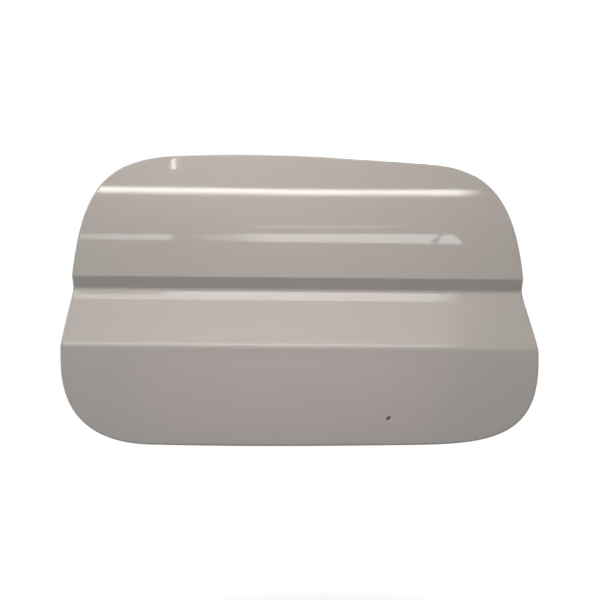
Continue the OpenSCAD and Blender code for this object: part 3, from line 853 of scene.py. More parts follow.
def plain(piece: Object, smooth_below: float = 30.0) -> Object:
    """Turns a piece with modifiers into a plain mesh, smooth except at its sharp edges.

    Args:
        piece: the piece.
        smooth_below: edges under this angle, in degrees, are shaded smooth.

    Returns:
        The same object with its final mesh.
    """
    graph = bpy.context.evaluated_depsgraph_get()
    graph.update()
    mesh = bpy.data.meshes.new_from_object(piece.evaluated_get(graph))
    mesh.name = piece.name
    piece.modifiers.clear()
    if piece.type == "MESH":
        piece.data = mesh
        made = piece
    else:
        made = placed(piece.name + "_mesh", mesh)
        bpy.data.objects.remove(piece)
    mesh.polygons.foreach_set("use_smooth", [True] * len(mesh.polygons))
    mesh.set_sharp_from_angle(angle=math.radians(smooth_below))
    return made


# Geometry node trees


class Tree(Wires):
    """A geometry node tree with named inputs, one of which is the material."""

    prefix = ""

    def __init__(self, name: str) -> None:
        """Starts a tree of this name with a geometry input and output."""
        super().__init__(bpy.data.node_groups.new(name, "GeometryNodeTree"))
        for way in ("INPUT", "OUTPUT"):
            self.tree.interface.new_socket("Geometry", in_out=way, socket_type="NodeSocketGeometry")
        self.start = self.add("NodeGroupInput")
        self.end = self.add("NodeGroupOutput")
        self.names: dict[str, str] = {}

    def size(self, name: str, kind: str = "Float") -> NodeSocket:
        """Adds a named input of this kind and gives its socket inside the tree."""
        made = self.tree.interface.new_socket(name, in_out="INPUT", socket_type="NodeSocket" + kind)
        self.names[name] = made.identifier
        return next(s for s in self.start.outputs if s.identifier == made.identifier)

    def sweep(self, resolution: int, radius: object, **values: object) -> NodeSocket:
        """Sweeps a ring along the lines that come in.

        Args:
            resolution: the ring's number of points.
            radius: its radius, a socket or a number.
            values: further inputs of the Curve to Mesh node.

        Returns:
            The swept mesh.
        """
        curve = self.add("GeometryNodeMeshToCurve", Mesh=self.start.outputs[0])
        ring = self.add("GeometryNodeCurvePrimitiveCircle", Resolution=resolution, Radius=radius)
        return self.add("GeometryNodeCurveToMesh", Curve=curve.outputs[0], Profile_Curve=ring.outputs[0],
                        **values).outputs[0]

    def run(self, geometry: NodeSocket, name: str, source: Object,
            values: dict[str, object], smooth_below: float = 40.0) -> Object:
        """Ends the tree in Realize Instances and Set Material, runs it and makes the result a plain mesh.

        Args:
            geometry: what the tree hands out.
            name: the new piece's name.
            source: object whose mesh goes in and is replaced.
            values: the inputs, by name.
            smooth_below: edges under this angle, in degrees, are shaded smooth.

        Returns:
            The new piece, at the origin.
        """
        material = self.size("Material", "Material")
        real = self.add("GeometryNodeRealizeInstances", Geometry=geometry)
        painted = self.add("GeometryNodeSetMaterial", Geometry=real.outputs[0], Material=material)
        self.link(painted.outputs[0], self.end.inputs[0])
        source.name = name
        modifier = source.modifiers.new("made", "NODES")
        modifier.node_group = self.tree
        for key, value in values.items():
            modifier[self.names[key]] = value
        return plain(source, smooth_below)


def path_mesh(name: str, points: np.ndarray, closed: bool) -> Object:
    """An object whose mesh is a line through points of the door's frame."""
    edges = [(i, i + 1) for i in range(len(points) - 1)]
    return drawn(name, points, edges + [(len(points) - 1, 0)] * closed)


def turned(name: str, section: list[Pair], sides: int = 40) -> Object:
    """A turned solid about Y: section points are radius and y, from front to back.

    Args:
        name: the object's name.
        section: radius and place along the axis, in millimetres; both ends lie on the axis.
        sides: facets round it.

    Returns:
        A closed mesh object in metres about its own origin.
    """
    points = [(0.0, section[0][1], 0.0)]
    for radius, y in section[1:-1]:
        for k in range(sides):
            a = 2 * math.pi * k / sides
            points.append((radius * math.cos(a), y, radius * math.sin(a)))
    points.append((0.0, section[-1][1], 0.0))
    faces = []
    rings = len(section) - 2
    last = len(points) - 1
    for k in range(sides):
        n = (k + 1) % sides
        faces.append((0, 1 + k, 1 + n))
        for r in range(rings - 1):
            faces.append((1 + r * sides + k, 1 + (r + 1) * sides + k,
                          1 + (r + 1) * sides + n, 1 + r * sides + n))
        faces.append((last, last - sides + n, last - sides + k))
    mesh = bpy.data.meshes.new(name)
    mesh.from_pydata([tuple(c * MM for c in p) for p in points], [], faces)
    work = bmesh.new()
    work.from_mesh(mesh)
    bmesh.ops.recalc_face_normals(work, faces=work.faces)
    work.to_mesh(mesh)
    work.free()
    return placed(name, mesh)


# Sub-assemblies


@dataclass
class PanelShell:
    """The outer skin with its folded hem, the inner panel, the sealer and the mastic."""

    form: DoorForm
    skin_t: float = 0.8
    inner_t: float = 0.7
    hem_w: float = 8.0
    hem_gap: float = 0.4
    hem_edge_r: float = 0.2
    rim_inset: float = 3.0
    skin_rows: Pair = (2.0, 2.5)
    skin_spacing: float = 5.0
    pan_depth: float = 6.5
    pan_inset: float = 11.5
    draft: float = 15.0
    bead_size: Pair = (104.0, 10.0)
    bead_at: Pair = (-5.95, 41.0)
    bead_out: float = 2.0
    bead_fall: float = 2.4
    press: float = 2.4
    seat_y: float = 12.5
    seat_r: float = 5.0
    ring_spacing: float = 2.0
    seats: tuple[tuple[Pair, Pair], ...] = (
        ((31.5, 2.0), (46.0, 46.0)),
        ((-75.0, 2.0), (26.0, 32.0)),
    )
    drain_r: float = 3.0
    drains: Pairs = (
        (-0.595, 0.427), (-0.345, -0.153), (0.096, 0.458), (0.633, -0.55), (-0.288, 0.397), (0.537, 0.55),
    )
    stem_r: float = 2.5
    stems: Pairs = ((-0.671, 0.55), (-0.671, -0.641))
    sealer_r: float = 0.496
    sealer_wave: float = 0.5
    sealer_off: float = 0.75
    sealer_lift: float = 0.12
    mastic_r: float = 8.0
    mastic_at: Pairs = (
        (-0.422, 0.366), (-0.096, 0.366), (0.671, 0.366), (0.5, -0.56), (-0.295, -0.56), (-0.049, -0.56),
    )
    chip_px: Pair = (387.8, 418.0)

    @property
    def hem_t(self) -> float:
        """Thickness of the hem: two skins round the inner panel."""
        return 2 * self.skin_t + self.inner_t

    @property
    def pan_back(self) -> float:
        """Depth of the back of the pan's floor."""
        return self.pan_depth + self.inner_t

    def spread_out(self, shares: Pairs) -> np.ndarray:
        """Turns shares of half the width and height into places x, z."""
        outline = self.form.outline
        return np.array(shares) * [outline.width / 2, outline.height / 2]

    def hem_stations(self) -> list[tuple[float, float, float, float]]:
        """The hem in section, from the painted face round the fold to the skin's back.

        Returns:
            For each station its inset, its depth, and the normal's inward and backward parts.
        """
        r = self.hem_t / 2
        inner_r = r - self.skin_t
        edge = self.hem_edge_r
        stations = [(self.rim_inset, 0.0, 0.0, -1.0), (2.0, 0.0, 0.0, -1.0)]
        for k in range(0, 13):
            a = math.pi * k / 12
            stations.append((r - r * math.sin(a), r - r * math.cos(a), -math.sin(a), -math.cos(a)))
        for a in (3.0, 5.0, self.hem_w - edge):
            stations.append((a, self.hem_t, 0.0, 1.0))
        for k in (1, 2, 3):
            a = math.pi / 2 * k / 3
            stations.append((self.hem_w - edge + edge * math.sin(a), self.hem_t - edge + edge * math.cos(a),
                             math.sin(a), math.cos(a)))
        low = self.skin_t + self.inner_t
        stations.append((self.hem_w, low + 0.02, 1.0, 0.0))
        stations.append((self.hem_w - 0.02, low, 0.0, -1.0))
        for k in range(0, 5):
            a = math.pi - math.pi * k / 4
            stations.append((r - inner_r * math.sin(a), r - inner_r * math.cos(a), math.sin(a), math.cos(a)))
        stations.append((self.rim_inset, self.skin_t, 0.0, 1.0))
        return stations

    def skin(self) -> Object:
        """The outer skin as one closed sheet."""
        form = self.form
        shell = Shell()
        count = len(form.edge)
        rings = []
        for inset, depth, inward, backward in self.hem_stations():
            plan = form.inset(inset)
            back = form.backward(plan[:, 1], depth)
            towards = spatial(-form.outward, np.zeros(count))
            rings.append(shell.add(form.at(plan, depth), inward * towards + backward * back))
        for first, second in zip(rings, rings[1:]):
            shell.band(first, second, count)
        rim = form.inset(self.rim_inset)
        grid = row_points(rim, form.rows(*self.skin_rows), self.skin_spacing)
        plan, faces = net([rim], grid)
        for ring, depth, way in ((rings[0], 0.0, -1.0), (rings[-1], self.skin_t, 1.0)):
            first = shell.add(form.at(grid, depth), way * form.backward(grid[:, 1], depth))
            for face in faces:
                shell.faces.append(tuple(ring + i if i < count else first + i - count for i in face))
        return shell.build("painted_skin")

    def seat_depth(self, plan: np.ndarray, seat: tuple) -> np.ndarray:
        """Distance inside a seat's rounded plan, positive inside."""
        (cx, cz), (w, h) = seat
        q = np.abs(plan - np.array([cx, cz])) - (np.array([w, h]) / 2 - self.seat_r)
        out = np.linalg.norm(np.maximum(q, 0), axis=1) + np.minimum(q.max(1), 0)
        return self.seat_r - out

    def bead_depth(self, plan: np.ndarray) -> np.ndarray:
        """Distance inside the bead's plan, positive inside."""
        half = self.bead_size[0] / 2 - self.bead_size[1] / 2
        x = np.maximum(np.abs(plan[:, 0] - self.bead_at[0]) - half, 0)
        return self.bead_size[1] / 2 - np.hypot(x, plan[:, 1] - self.bead_at[1])

    def panel_y(self, plan: np.ndarray) -> np.ndarray:
        """y of the inner panel's back face, with rounds where it was pressed.

        Args:
            plan: rows of x, z.

        Returns:
            y for each row.
        """
        def over(a: np.ndarray, b: np.ndarray, k: float) -> np.ndarray:
            """The larger of two heights, blended over k."""
            h = np.maximum(k - np.abs(a - b), 0) / k
            return np.maximum(a, b) + h * h * k / 4

        def under(a: np.ndarray, b: np.ndarray, k: float) -> np.ndarray:
            """The smaller of two heights, blended over k."""
            return -over(-a, -b, k)

        form = self.form
        z = plan[:, 1]
        fall = 1 / math.tan(math.radians(self.draft))
        flange = form.face_y(z, self.skin_t + self.inner_t)
        floor = form.face_y(z, self.pan_back)
        wall = form.profile.crease[0] + (form.inside(plan) - self.pan_inset) * fall
        y = under(over(flange, wall, self.press), floor, self.press)
        bead = floor + np.minimum(self.bead_depth(plan) * self.bead_fall, self.bead_out * 1.6)
        y = over(y, under(bead, floor + self.bead_out, 1.2), 1.0)
        for seat in self.seats:
            rise = self.seat_y + self.seat_depth(plan, seat) * fall
            top = np.full(len(plan), self.seat_y)
            y = over(y, under(rise, top, self.press), self.press)
        return y

    def panel_plan(self) -> tuple[list[np.ndarray], np.ndarray]:
        """Plan points for the inner panel, close together where it bends.

        Returns:
            The rim and hole rings, and the loose points.
        """
        form = self.form
        holes = [(x, z, self.drain_r) for x, z in self.spread_out(self.drains)]
        holes += [(x, z, self.stem_r) for x, z in self.spread_out(self.stems)]
        rings = [form.inset(self.skin_t + self.hem_gap)]
        turn = np.linspace(0, 2 * math.pi, 28, endpoint=False)
        for x, z, r in holes:
            rings.append(np.stack([x + r * np.cos(turn), z + r * np.sin(turn)], axis=1))
        loose = []
        for inset in np.concatenate([np.arange(2.5, 10.5, 2.0), np.arange(10.8, 20.5, 0.6)]):
            ring = form.inset(inset)
            loose.append(ring[form.inside(ring) > inset - 0.02])
        for seat in self.seats:
            loose.append(self.seat_rings(seat))
        loose.append(self.bead_rings())
        loose.append(row_points(form.inset(20.4), form.rows(4.0, 3.0), 3.0))
        plan = np.vstack(loose)
        plan = plan[form.inside(plan) > self.skin_t + self.hem_gap + 0.3]
        for x, z, r in holes:
            plan = plan[np.hypot(plan[:, 0] - x, plan[:, 1] - z) > r + 0.25]
        keep = np.unique(np.round(plan / 0.45).astype(int), axis=0, return_index=True)[1]
        return rings, plan[np.sort(keep)]

    def seat_rings(self, seat: tuple) -> np.ndarray:
        """Plan points round a seat, from the foot of its wall to its flat top."""
        at, (w, h) = seat
        half = (w / 2 - self.seat_r, h / 2 - self.seat_r)
        return np.vstack([rounded_ring(at, half, max(self.seat_r + grow, 0.3), self.ring_spacing)
                          for grow in np.arange(-2.0, 7.0, 0.4)])

    def bead_rings(self) -> np.ndarray:
        """Plan points round the bead."""
        half = ((self.bead_size[0] - self.bead_size[1]) / 2, 0.001)
        return np.vstack([rounded_ring(self.bead_at, half, self.bead_size[1] / 2 + grow, self.ring_spacing)
                          for grow in np.arange(-2.4, 1.0, 0.3)])

    def panel(self) -> Object:
        """The inner panel as one closed pressing."""
        rings, loose = self.panel_plan()
        plan, faces = net(rings, loose)
        h = 0.05
        dx = (self.panel_y(plan + [h, 0]) - self.panel_y(plan - [h, 0])) / (2 * h)
        dz = (self.panel_y(plan + [0, h]) - self.panel_y(plan - [0, h])) / (2 * h)
        normals = np.stack([-dx, np.ones(len(plan)), -dz], axis=1)
        normals /= np.linalg.norm(normals, axis=1)[:, None]
        back = spatial(plan, self.panel_y(plan))
        shell = Shell()
        first = shell.add(back, normals)
        second = shell.add(back - normals * self.inner_t, -normals)
        for face in faces:
            shell.faces.append(tuple(first + i for i in face))
            shell.faces.append(tuple(second + i for i in face))
        start = 0
        for number, ring in enumerate(rings):
            count = len(ring)
            middle = ring.mean(0)
            out = ring - middle if number == 0 else middle - ring
            wall = spatial(out, np.zeros(count))
            a = shell.add(back[start:start + count], wall)
            b = shell.add((back - normals * self.inner_t)[start:start + count], wall)
            shell.band(a, b, count)
            start += count
        return shell.build("pressed_inner_panel")

    def sealer(self, material: Material) -> Object:
        """The bead of sealer brushed along the hem's raw edge, swept along the outline."""
        plan = self.form.inset(self.hem_w + self.sealer_off)[::2]
        y = self.form.face_y(plan[:, 1], self.skin_t + self.inner_t) + self.sealer_lift
        tree = Tree("bead_along_a_path")
        radius, wave = tree.size("Radius"), tree.size("Wave")
        noise = tree.add("ShaderNodeTexNoise", Scale=140.0, Detail=3.0)
        waves = tree.math("MULTIPLY", tree.math("SUBTRACT", noise.outputs[0], 0.5), wave)
        return tree.run(
            tree.sweep(12, 1.0, Scale=tree.math("ADD", waves, radius)), "sealer_bead",
            path_mesh("sealer_bead", spatial(plan, y), True),
            {"Radius": self.sealer_r * MM, "Wave": self.sealer_wave * MM, "Material": material}, 80.0)

    def mastic(self, material: Material) -> Object:
        """The soft pads between the sheets, one blob at each place."""
        gap = self.pan_depth - self.skin_t
        plan = self.spread_out(self.mastic_at)
        points = (self.form.at(plan, self.skin_t) + self.form.at(plan, self.pan_depth)) / 2
        r = self.mastic_r
        blob = turned("mastic_blob", [
            (0, -gap / 2), (r * 0.8, -gap / 2), (r * 0.96, -gap * 0.36), (r, 0),
            (r * 0.95, gap * 0.36), (r * 0.78, gap / 2), (0, gap / 2),
        ], 28)
        return spread("mastic_blobs", points, blob, material)

    def build(self, outer: Material, inner: Material, sealer: Material, mastic: Material) -> None:
        """Makes and dresses the whole shell.

        Args:
            outer: paint of the skin.
            inner: paint of the inner panel.
            sealer: finish of the sealer.
            mastic: finish of the pads.
        """
        dress(self.skin(), outer, Body.DOOR, Slot.PAINT, "outer_skin")
        dress(self.panel(), inner, Body.DOOR, Slot.PAINT, "inner_panel")
        dress(self.sealer(sealer), sealer, Body.DOOR, Slot.SEALER, "hem_sealer")
        dress(self.mastic(mastic), mastic, Body.DOOR, Slot.MASTIC, "mastic_pads")


def rounded_ring(at: Pair, half: Pair, r: float, spacing: float) -> np.ndarray:
    """Points round a rounded rectangle.

    Args:
        at: its middle.
        half: half its size, less the corner radius.
        r: corner radius.
        spacing: distance between points.

    Returns:
        Rows of x, z.
    """
    def on_corner(index: int, turn: float) -> np.ndarray:
        """The point on a corner's round, turned from the round's start in degrees."""
        side = ((1, 1), (-1, 1), (-1, -1), (1, -1))[index % 4]
        a = math.radians(90 * (index % 4) + turn)
        middle = np.array(at) + np.array(side) * half
        return middle + np.array([math.cos(a), math.sin(a)]) * r

    points = []
    steps = max(int(r * math.pi / 2 / (spacing / 2)), 6)
    for index in range(4):
        points += [on_corner(index, 90 * k / steps) for k in range(steps + 1)]
        last, end = points[-1], on_corner(index + 1, 0.0)
        count = int(math.dist(end, last) / spacing)
        points += [last + (end - last) * (k / count) for k in range(1, count)]
    return np.array(points)


def spread(name: str, points: np.ndarray, shape: Object, material: Material) -> Object:
    """Puts one copy of a shape at each point, as a single mesh.

    Args:
        name: the piece's name.
        points: places in the door's frame.
        shape: object that is repeated; it is removed.
        material: finish.

    Returns:
        The piece, at the origin.
    """
    tree = Tree("copies_of_" + shape.name)
    info = tree.add("GeometryNodeObjectInfo", Object=tree.size("Shape", "Object"))
    cloud = tree.add("GeometryNodeMeshToPoints", Mesh=tree.start.outputs[0])
    copies = tree.add("GeometryNodeInstanceOnPoints", Points=cloud.outputs[0],
                      Instance=info.outputs["Geometry"])
    made = tree.run(copies.outputs[0], name, drawn(name, points), {"Shape": shape, "Material": material})
    bpy.data.objects.remove(shape)
    return made


@dataclass
class Fixings:
    """The rivets, each one shape repeated at its places."""

    seat_y: float = 12.5
    sheet_t: float = 0.7
    head_h: float = 1.2
    arm_t: float = 1.6
    striker_t: float = 2.0
    arm_rivets: Pairs = ((20, -11), (20, 15), (41, -11), (41, 15))
    striker_rivets: Pairs = ((-72, -7), (-72, 11))

    def rivet(self, name: str, r: float, head_r: float, grip: float) -> Object:
        """One rivet about its seat: a flat head in the pan, a domed one with a dimple outside."""
        inside = -self.sheet_t
        outside = grip
        h = self.head_h
        return turned(name, [
            (0, inside - h), (head_r * 0.82, inside - h), (head_r, inside - h * 0.7), (head_r, inside - 0.05),
            (r, inside), (r, outside), (head_r, outside + 0.04), (head_r * 0.98, outside + h * 0.25),
            (head_r * 0.86, outside + h * 0.6), (head_r * 0.62, outside + h * 0.88),
            (head_r * 0.36, outside + h), (head_r * 0.2, outside + h * 0.82), (0, outside + h * 0.72),
        ], 32)

    def places(self, at: Pairs) -> np.ndarray:
        """The rivets' places on the seats' back face."""
        return np.array([(x, self.seat_y, z) for x, z in at], float)

    def build(self, plated: Material) -> None:
        """Makes and dresses the rivets."""
        for name, sizes, at, node in (
            ("hinge_arm_rivets", (2.5, 4.5, self.arm_t), self.arm_rivets, "arm_rivets"),
            ("latch_striker_rivets", (2.2, 4.0, self.striker_t), self.striker_rivets, "striker_rivets"),
        ):
            one = self.rivet(node[:-1], *sizes)
            dress(spread(name, self.places(at), one, plated), plated, Body.DOOR, Slot.PLATED, node)


@dataclass
class Spring:
    """The torsion spring: a leg on the arm, the coil round the pin and a foot on the base plate."""

    pin: Triple = (66.0, 18.5, 2.0)
    wire_d: float = 1.8
    coil_r: float = 5.2
    turns: int = 7
    pitch: float = 2.1
    arm_near: float = 15.0
    arm_leg: float = 32.0
    base_leg: float = 10.0
    base_back: float = 20.0
    seat_y: float = 12.5
    arm_t: float = 1.6
    leg_gap: float = 0.15
    bend_r: float = 1.0

    def path(self) -> np.ndarray:
        """The wire's middle line, in the door's frame."""
        low = self.seat_y + self.arm_t + self.leg_gap + self.wire_d / 2 - self.pin[1]
        high = self.base_back - self.leg_gap - self.wire_d / 2
        bend = self.arm_near - 0.5
        far = math.hypot(bend, low)
        leave = 270 - math.degrees(math.asin(self.coil_r / far)) + math.degrees(math.atan2(-low, bend))
        total = self.turns * 360 - (leave - 180)
        bottom = -self.turns * self.pitch / 2
        steps = self.turns * 40
        turn = np.radians(leave + total * np.arange(steps + 1) / steps)
        rise = bottom + self.turns * self.pitch * np.arange(steps + 1) / steps
        coil = np.stack([self.coil_r * np.cos(turn), self.coil_r * np.sin(turn), rise], axis=1)
        first = [(-self.arm_leg, low, bottom), (-bend - 1.5, low, bottom), (-bend - 0.4, low - 0.03, bottom),
                 (-bend + 0.6, low - 0.1, bottom)]
        corner = [
            (-self.coil_r + (math.cos(a) - 1) * self.bend_r, high + (math.sin(a) - 1) * self.bend_r, -bottom)
            for a in np.radians([0, 30, 60, 90])
        ]
        last = [(-self.coil_r - self.base_leg, high, -bottom)]
        return np.vstack([first, coil, corner, last]) + np.array(self.pin)

    def build(self, steel: Material) -> None:
        """Sweeps the wire along its path and dresses it."""
        tree = Tree("wire_along_a_path")
        wire = tree.sweep(16, tree.size("Radius"), Fill_Caps=True)
        made = tree.run(wire, "torsion_spring_wire", path_mesh("spring_path", self.path(), False),
                        {"Radius": self.wire_d / 2 * MM, "Material": steel})
        dress(made, steel, Body.BASE, Slot.SPRING, "torsion_spring")


@dataclass
class Hardware:
    """The pieces that keep their CAD form and get rounded edges: node, name, edge, finish, body, slot."""

    pieces: tuple[tuple[str, str, float, str, Body, Slot], ...] = (
        ("hinge_arm", "pressed_hinge_arm", 0.3, "inner", Body.DOOR, Slot.PAINT),
        ("hinge_base", "pressed_hinge_base", 0.35, "inner", Body.BASE, Slot.PAINT),
        ("latch_striker", "bent_striker", 0.35, "plated", Body.DOOR, Slot.PLATED),
        ("hinge_pin", "headed_pin", 0.35, "plated", Body.BASE, Slot.PLATED),
        ("pin_clip", "spring_clip", 0.12, "spring", Body.BASE, Slot.SPRING),
        ("bush_upper", "flanged_bush_upper", 0.2, "nylon", Body.DOOR, Slot.NYLON),
        ("bush_lower", "flanged_bush_lower", 0.2, "nylon", Body.DOOR, Slot.NYLON),
        ("bumper_upper", "rubber_bumper_upper", 1.1, "rubber", Body.DOOR, Slot.RUBBER),
        ("bumper_lower", "rubber_bumper_lower", 1.1, "rubber", Body.DOOR, Slot.RUBBER),
        ("stop_buffers", "rubber_stop_buffers", 0.8, "rubber", Body.BASE, Slot.RUBBER),
        ("cap_holder", "moulded_cap_holder", 0.45, "plastic", Body.DOOR, Slot.PLASTIC),
        ("holder_clips", "push_clips", 0.3, "plastic", Body.DOOR, Slot.PLASTIC),
    )
    fine_from: float = 0.7

    def build(self, materials: dict[str, Material]) -> None:
        """Makes and dresses each piece.

        Args:
            materials: the finishes by short name.
        """
        for node, name, width, finish, body, slot in self.pieces:
            piece = softened(node, name, width, 4 if width > self.fine_from else 2)
            dress(piece, materials[finish], body, slot, node)


@dataclass(frozen=True)
class SoftLamp:
    """A soft lamp: where it stands seen from the door, its size, its power and its tint."""

    name: str
    distance: float
    rise: float
    turn: float
    size: float
    power: float
    mirrored: bool = False
    tint: Triple = (1.0, 1.0, 1.0)


@dataclass(frozen=True)
class Mirrored:
    """Something bright or dim that the gloss shows, between two lines in the photo.

    Its light runs from the upper line (0) to the lower one (1), and fades into the room's along its length.
    The tint is that of the light beyond the room's, which is 1.
    """

    name: str
    upper: Pairs
    lower: Pairs
    across: Pairs
    along: Pairs = ((0.0, 1.0), (1.0, 1.0))
    tint: Triple = (1.0, 1.0, 1.0)
    far: float = 1100.0


@dataclass
class Studio:
    """Floor, camera, lamps and mirrored things, set by where the photo was taken from."""

    form: DoorForm
    distance: float = 320.0
    mm_per_px: float = 0.45
    picture_px: float = 600.0
    middle_px: Pair = (299.5, 300.0)
    outline_middle_z: float = 1.05
    roll: float = 0.5
    floor_below: float = 300.0
    floor_reach: float = 6.0
    aside: float = 0.15
    grid: tuple[int, int] = (33, 13)
    ambient: Triple = (0.06, 0.085, 0.099)
    lamps: tuple[SoftLamp, ...] = (
        SoftLamp("soft_overhead", 700, 40, -15, 240, 1.43, tint=(0.917, 0.975, 1)),
        SoftLamp("soft_high_left", 700, 55, -30, 240, 0.64, tint=(1, 0.884, 0.623)),
        SoftLamp("soft_near_middle", 260, 30, 0, 90, 0.172, tint=(1, 0.75, 0.61)),
        SoftLamp("soft_near_front", 260, 5, -5, 90, 0.07, tint=(0.83, 0.88, 1)),
        SoftLamp("rim_right", 600, 56, 54, 60, 0.07, True),
        SoftLamp("rim_left", 600, 36, -68, 160, 0.18, True),
        SoftLamp("soft_behind_right", 380, 48, 150, 200, 0.5, True),
        SoftLamp("soft_behind_left", 380, 30, 225, 200, 0.3, True),
    )
    seen: tuple[Mirrored, ...] = (
        Mirrored("tube", ((70, 183.8), (110, 184.3), (200, 185.5), (300, 187), (440, 187.7), (482, 187.7)),
                 ((70, 194.8), (110, 195.3), (200, 196.5), (300, 198), (440, 198.7), (482, 197.7)),
                 ((0, 1), (0.14, 3.8), (0.27, 10.6), (0.41, 17), (0.55, 13.5), (0.82, 4.2), (1, 1)),
                 ((0, 1), (0.95, 1), (0.97, 0.42), (0.98, 0), (1, 0)), (1, 0.985, 0.9)),
        Mirrored("window_bar", ((438.6, 234), (442.6, 234)), ((431.8, 243.2), (435.8, 243.2)), ((0, 0.2),
                 (1, 0.2)), far=1094),
        Mirrored("window_left", ((60, 233.4), (174, 233.4)), ((60, 239.4), (176, 240.6)), ((0, 1), (0.2, 4.8),
                 (0.8, 4.6), (1, 1)), ((0, 0.55), (0.22, 0.7), (0.35, 0.85), (0.52, 1.05), (0.595, 1.05),
                 (0.61, 0.1), (0.64, 0.1), (0.655, 1.05), (0.94, 1.05), (1, 0))),
        Mirrored("window_right", ((196, 234.6), (250, 233), (350, 233.3), (452, 233.7)), ((202, 240.6),
                 (250, 242.3), (350, 243.3), (464, 244.6)), ((0, 1), (0.15, 6.1), (0.85, 5.9), (1, 1)),
                 ((0, 0.3), (0.08, 0.3), (0.15, 0.5), (0.24, 0.95), (1, 1))),
        Mirrored("window_top", ((250, 225), (404, 225.4)), ((250, 228.6), (404, 228.8)), ((0, 1), (0.4, 3.6),
                 (0.6, 3.2), (1, 1)), ((0, 0.6), (0.15, 1), (0.75, 0.9), (1, 0.3))),
        Mirrored("hook", ((170.2, 169.2), (169.8, 164.5), (170.4, 160), (173.6, 157.4), (180, 156.4)),
                 ((175.9, 169.2), (175.3, 164.5), (175.2, 161.4), (177, 159.4), (181, 158.4)),
                 ((0, 1), (0.2, 13.5), (0.8, 13.5), (1, 1)),
                 ((0, 1), (0.5, 0.9), (0.75, 0.45), (1, 0.1)), (1, 0.985, 0.93)),
        Mirrored("valley", ((50, 291.1), (200, 291.7), (260, 292.25), (420, 293.65), (458, 294)), ((50, 300.8),
                 (100, 300.4), (258, 301.2), (272, 302.1), (420, 304.6), (458, 305.2)),
                 ((0, 5.8), (0.3, 4.9), (0.9, 4.9), (1, 1.8)),
                 ((0, 0.8), (0.12, 0.82), (0.45, 1.08), (0.94, 1), (1, 0.2)), far=5000),
        Mirrored("facet", ((40, 300), (490, 304)), ((40, 342), (490, 346)), ((0, 2.18), (1, 2.18)), ((0, 0.5),
                 (0.12, 0.6), (0.4, 0.95), (0.6, 1.1), (0.88, 1), (0.97, 0.1), (1, 0)), (1, 0.77, 0.765)),
        Mirrored("crease_card", ((50, 343.4), (550, 347.8)), ((50, 346.8), (550, 351.2)), ((0, 2), (0.35, 2),
                 (0.6, 1.3), (0.75, 1), (1, 1)), ((0, 0.7), (0.2, 0.7), (0.6, 0.8), (0.8, 0.2), (1, 0)),
                 (1, 0.77, 0.765), far=40),
        Mirrored("lower_glow", ((110, 351), (470, 354)), ((110, 436), (470, 439)), ((0, 1.4), (0.1, 1.8),
                 (0.4, 1.75), (1, 1.45)), ((0, 0), (0.06, 0.3), (0.17, 0.65), (0.28, 0.8), (0.4, 1), (0.72, 1),
                 (0.84, 0.8), (0.94, 0.2), (1, 0)), (1, 0.45, 0.7), far=600),
    )

    @property
    def eye(self) -> np.ndarray:
        """The camera's place, in the door's frame."""
        return np.array([self.aside, -self.distance, -self.outline_middle_z])

    def camera(self) -> None:
        """Puts the camera where the photo was taken from."""
        data = bpy.data.cameras.new("photo_camera")
        data.sensor_width = 36.0
        data.lens = data.sensor_width * (self.distance / self.mm_per_px) / self.picture_px
        data.clip_start = 0.01
        data.clip_end = 50.0
        camera = placed("photo_camera", data)
        camera.location = Vector(to_model(self.eye))
        camera.rotation_euler = (math.radians(90), 0, 0)
        camera.rotation_euler.rotate_axis("Z", math.radians(self.roll))
        bpy.context.scene.camera = camera

    def lamp(self, soft: SoftLamp) -> None:
        """Adds a soft lamp; those in front light the paint but aren't mirrored in it.

        Args:
            soft: the lamp's place and strength.
        """
        rise, turn = math.radians(soft.rise), math.radians(soft.turn)
        way = np.array([math.sin(turn) * math.cos(rise), -math.cos(turn) * math.cos(rise), math.sin(rise)])
        data = bpy.data.lights.new(soft.name, "AREA")
        data.shape = "DISK"
        data.size = soft.size * MM
        data.energy = soft.power
        data.color = soft.tint
        lamp = placed(soft.name, data)
        lamp.location = Vector(to_model(way * soft.distance))
        aim = Vector(to_model(np.zeros(3))) - lamp.location
        lamp.rotation_euler = aim.to_track_quat("-Z", "Y").to_euler()
        lamp.visible_glossy = soft.mirrored

    def on_face(self, px: np.ndarray) -> np.ndarray:
        """Finds where a pixel of the photo lies on the painted face, in the door's frame."""
        turn = math.radians(self.roll)
        u = (px[0] - self.middle_px[0]) * self.mm_per_px
        v = (self.middle_px[1] - px[1]) * self.mm_per_px
        u, v = u * math.cos(turn) - v * math.sin(turn), u * math.sin(turn) + v * math.cos(turn)
        z, depth = v - self.outline_middle_z, 0.0
        for _ in range(20):
            depth = float(self.form.face_y(np.array([z]))[0])
            z = v * (self.distance + depth) / self.distance - self.outline_middle_z
        return np.array([u * (self.distance + depth) / self.distance + self.aside, depth, z])

    def mirrored(self, px: np.ndarray, far: float) -> np.ndarray:
        """Where the gloss at a pixel looks to, at a set distance, in the door's frame."""
        place = self.on_face(px)
        slope = float(self.form.slope(place[2:3])[0])
        normal = np.array([0.0, -1.0, slope]) / math.hypot(1.0, slope)
        ray = place - self.eye
        ray /= np.linalg.norm(ray)
        return place + (ray - 2 * (ray @ normal) * normal) * far

    def show(self, thing: Mirrored) -> None:
        """Adds a sheet whose mirror image fills its part of the photo; only the gloss sees it.

        Args:
            thing: what is seen.
        """
        def on_line(line: Pairs, share: np.ndarray) -> np.ndarray:
            """Points at shares of a line's length."""
            corners = np.array(line)
            run = np.concatenate([[0], np.cumsum(np.linalg.norm(np.diff(corners, axis=0), axis=1))])
            return np.stack([np.interp(share * run[-1], run, corners[:, k]) for k in (0, 1)], axis=1)

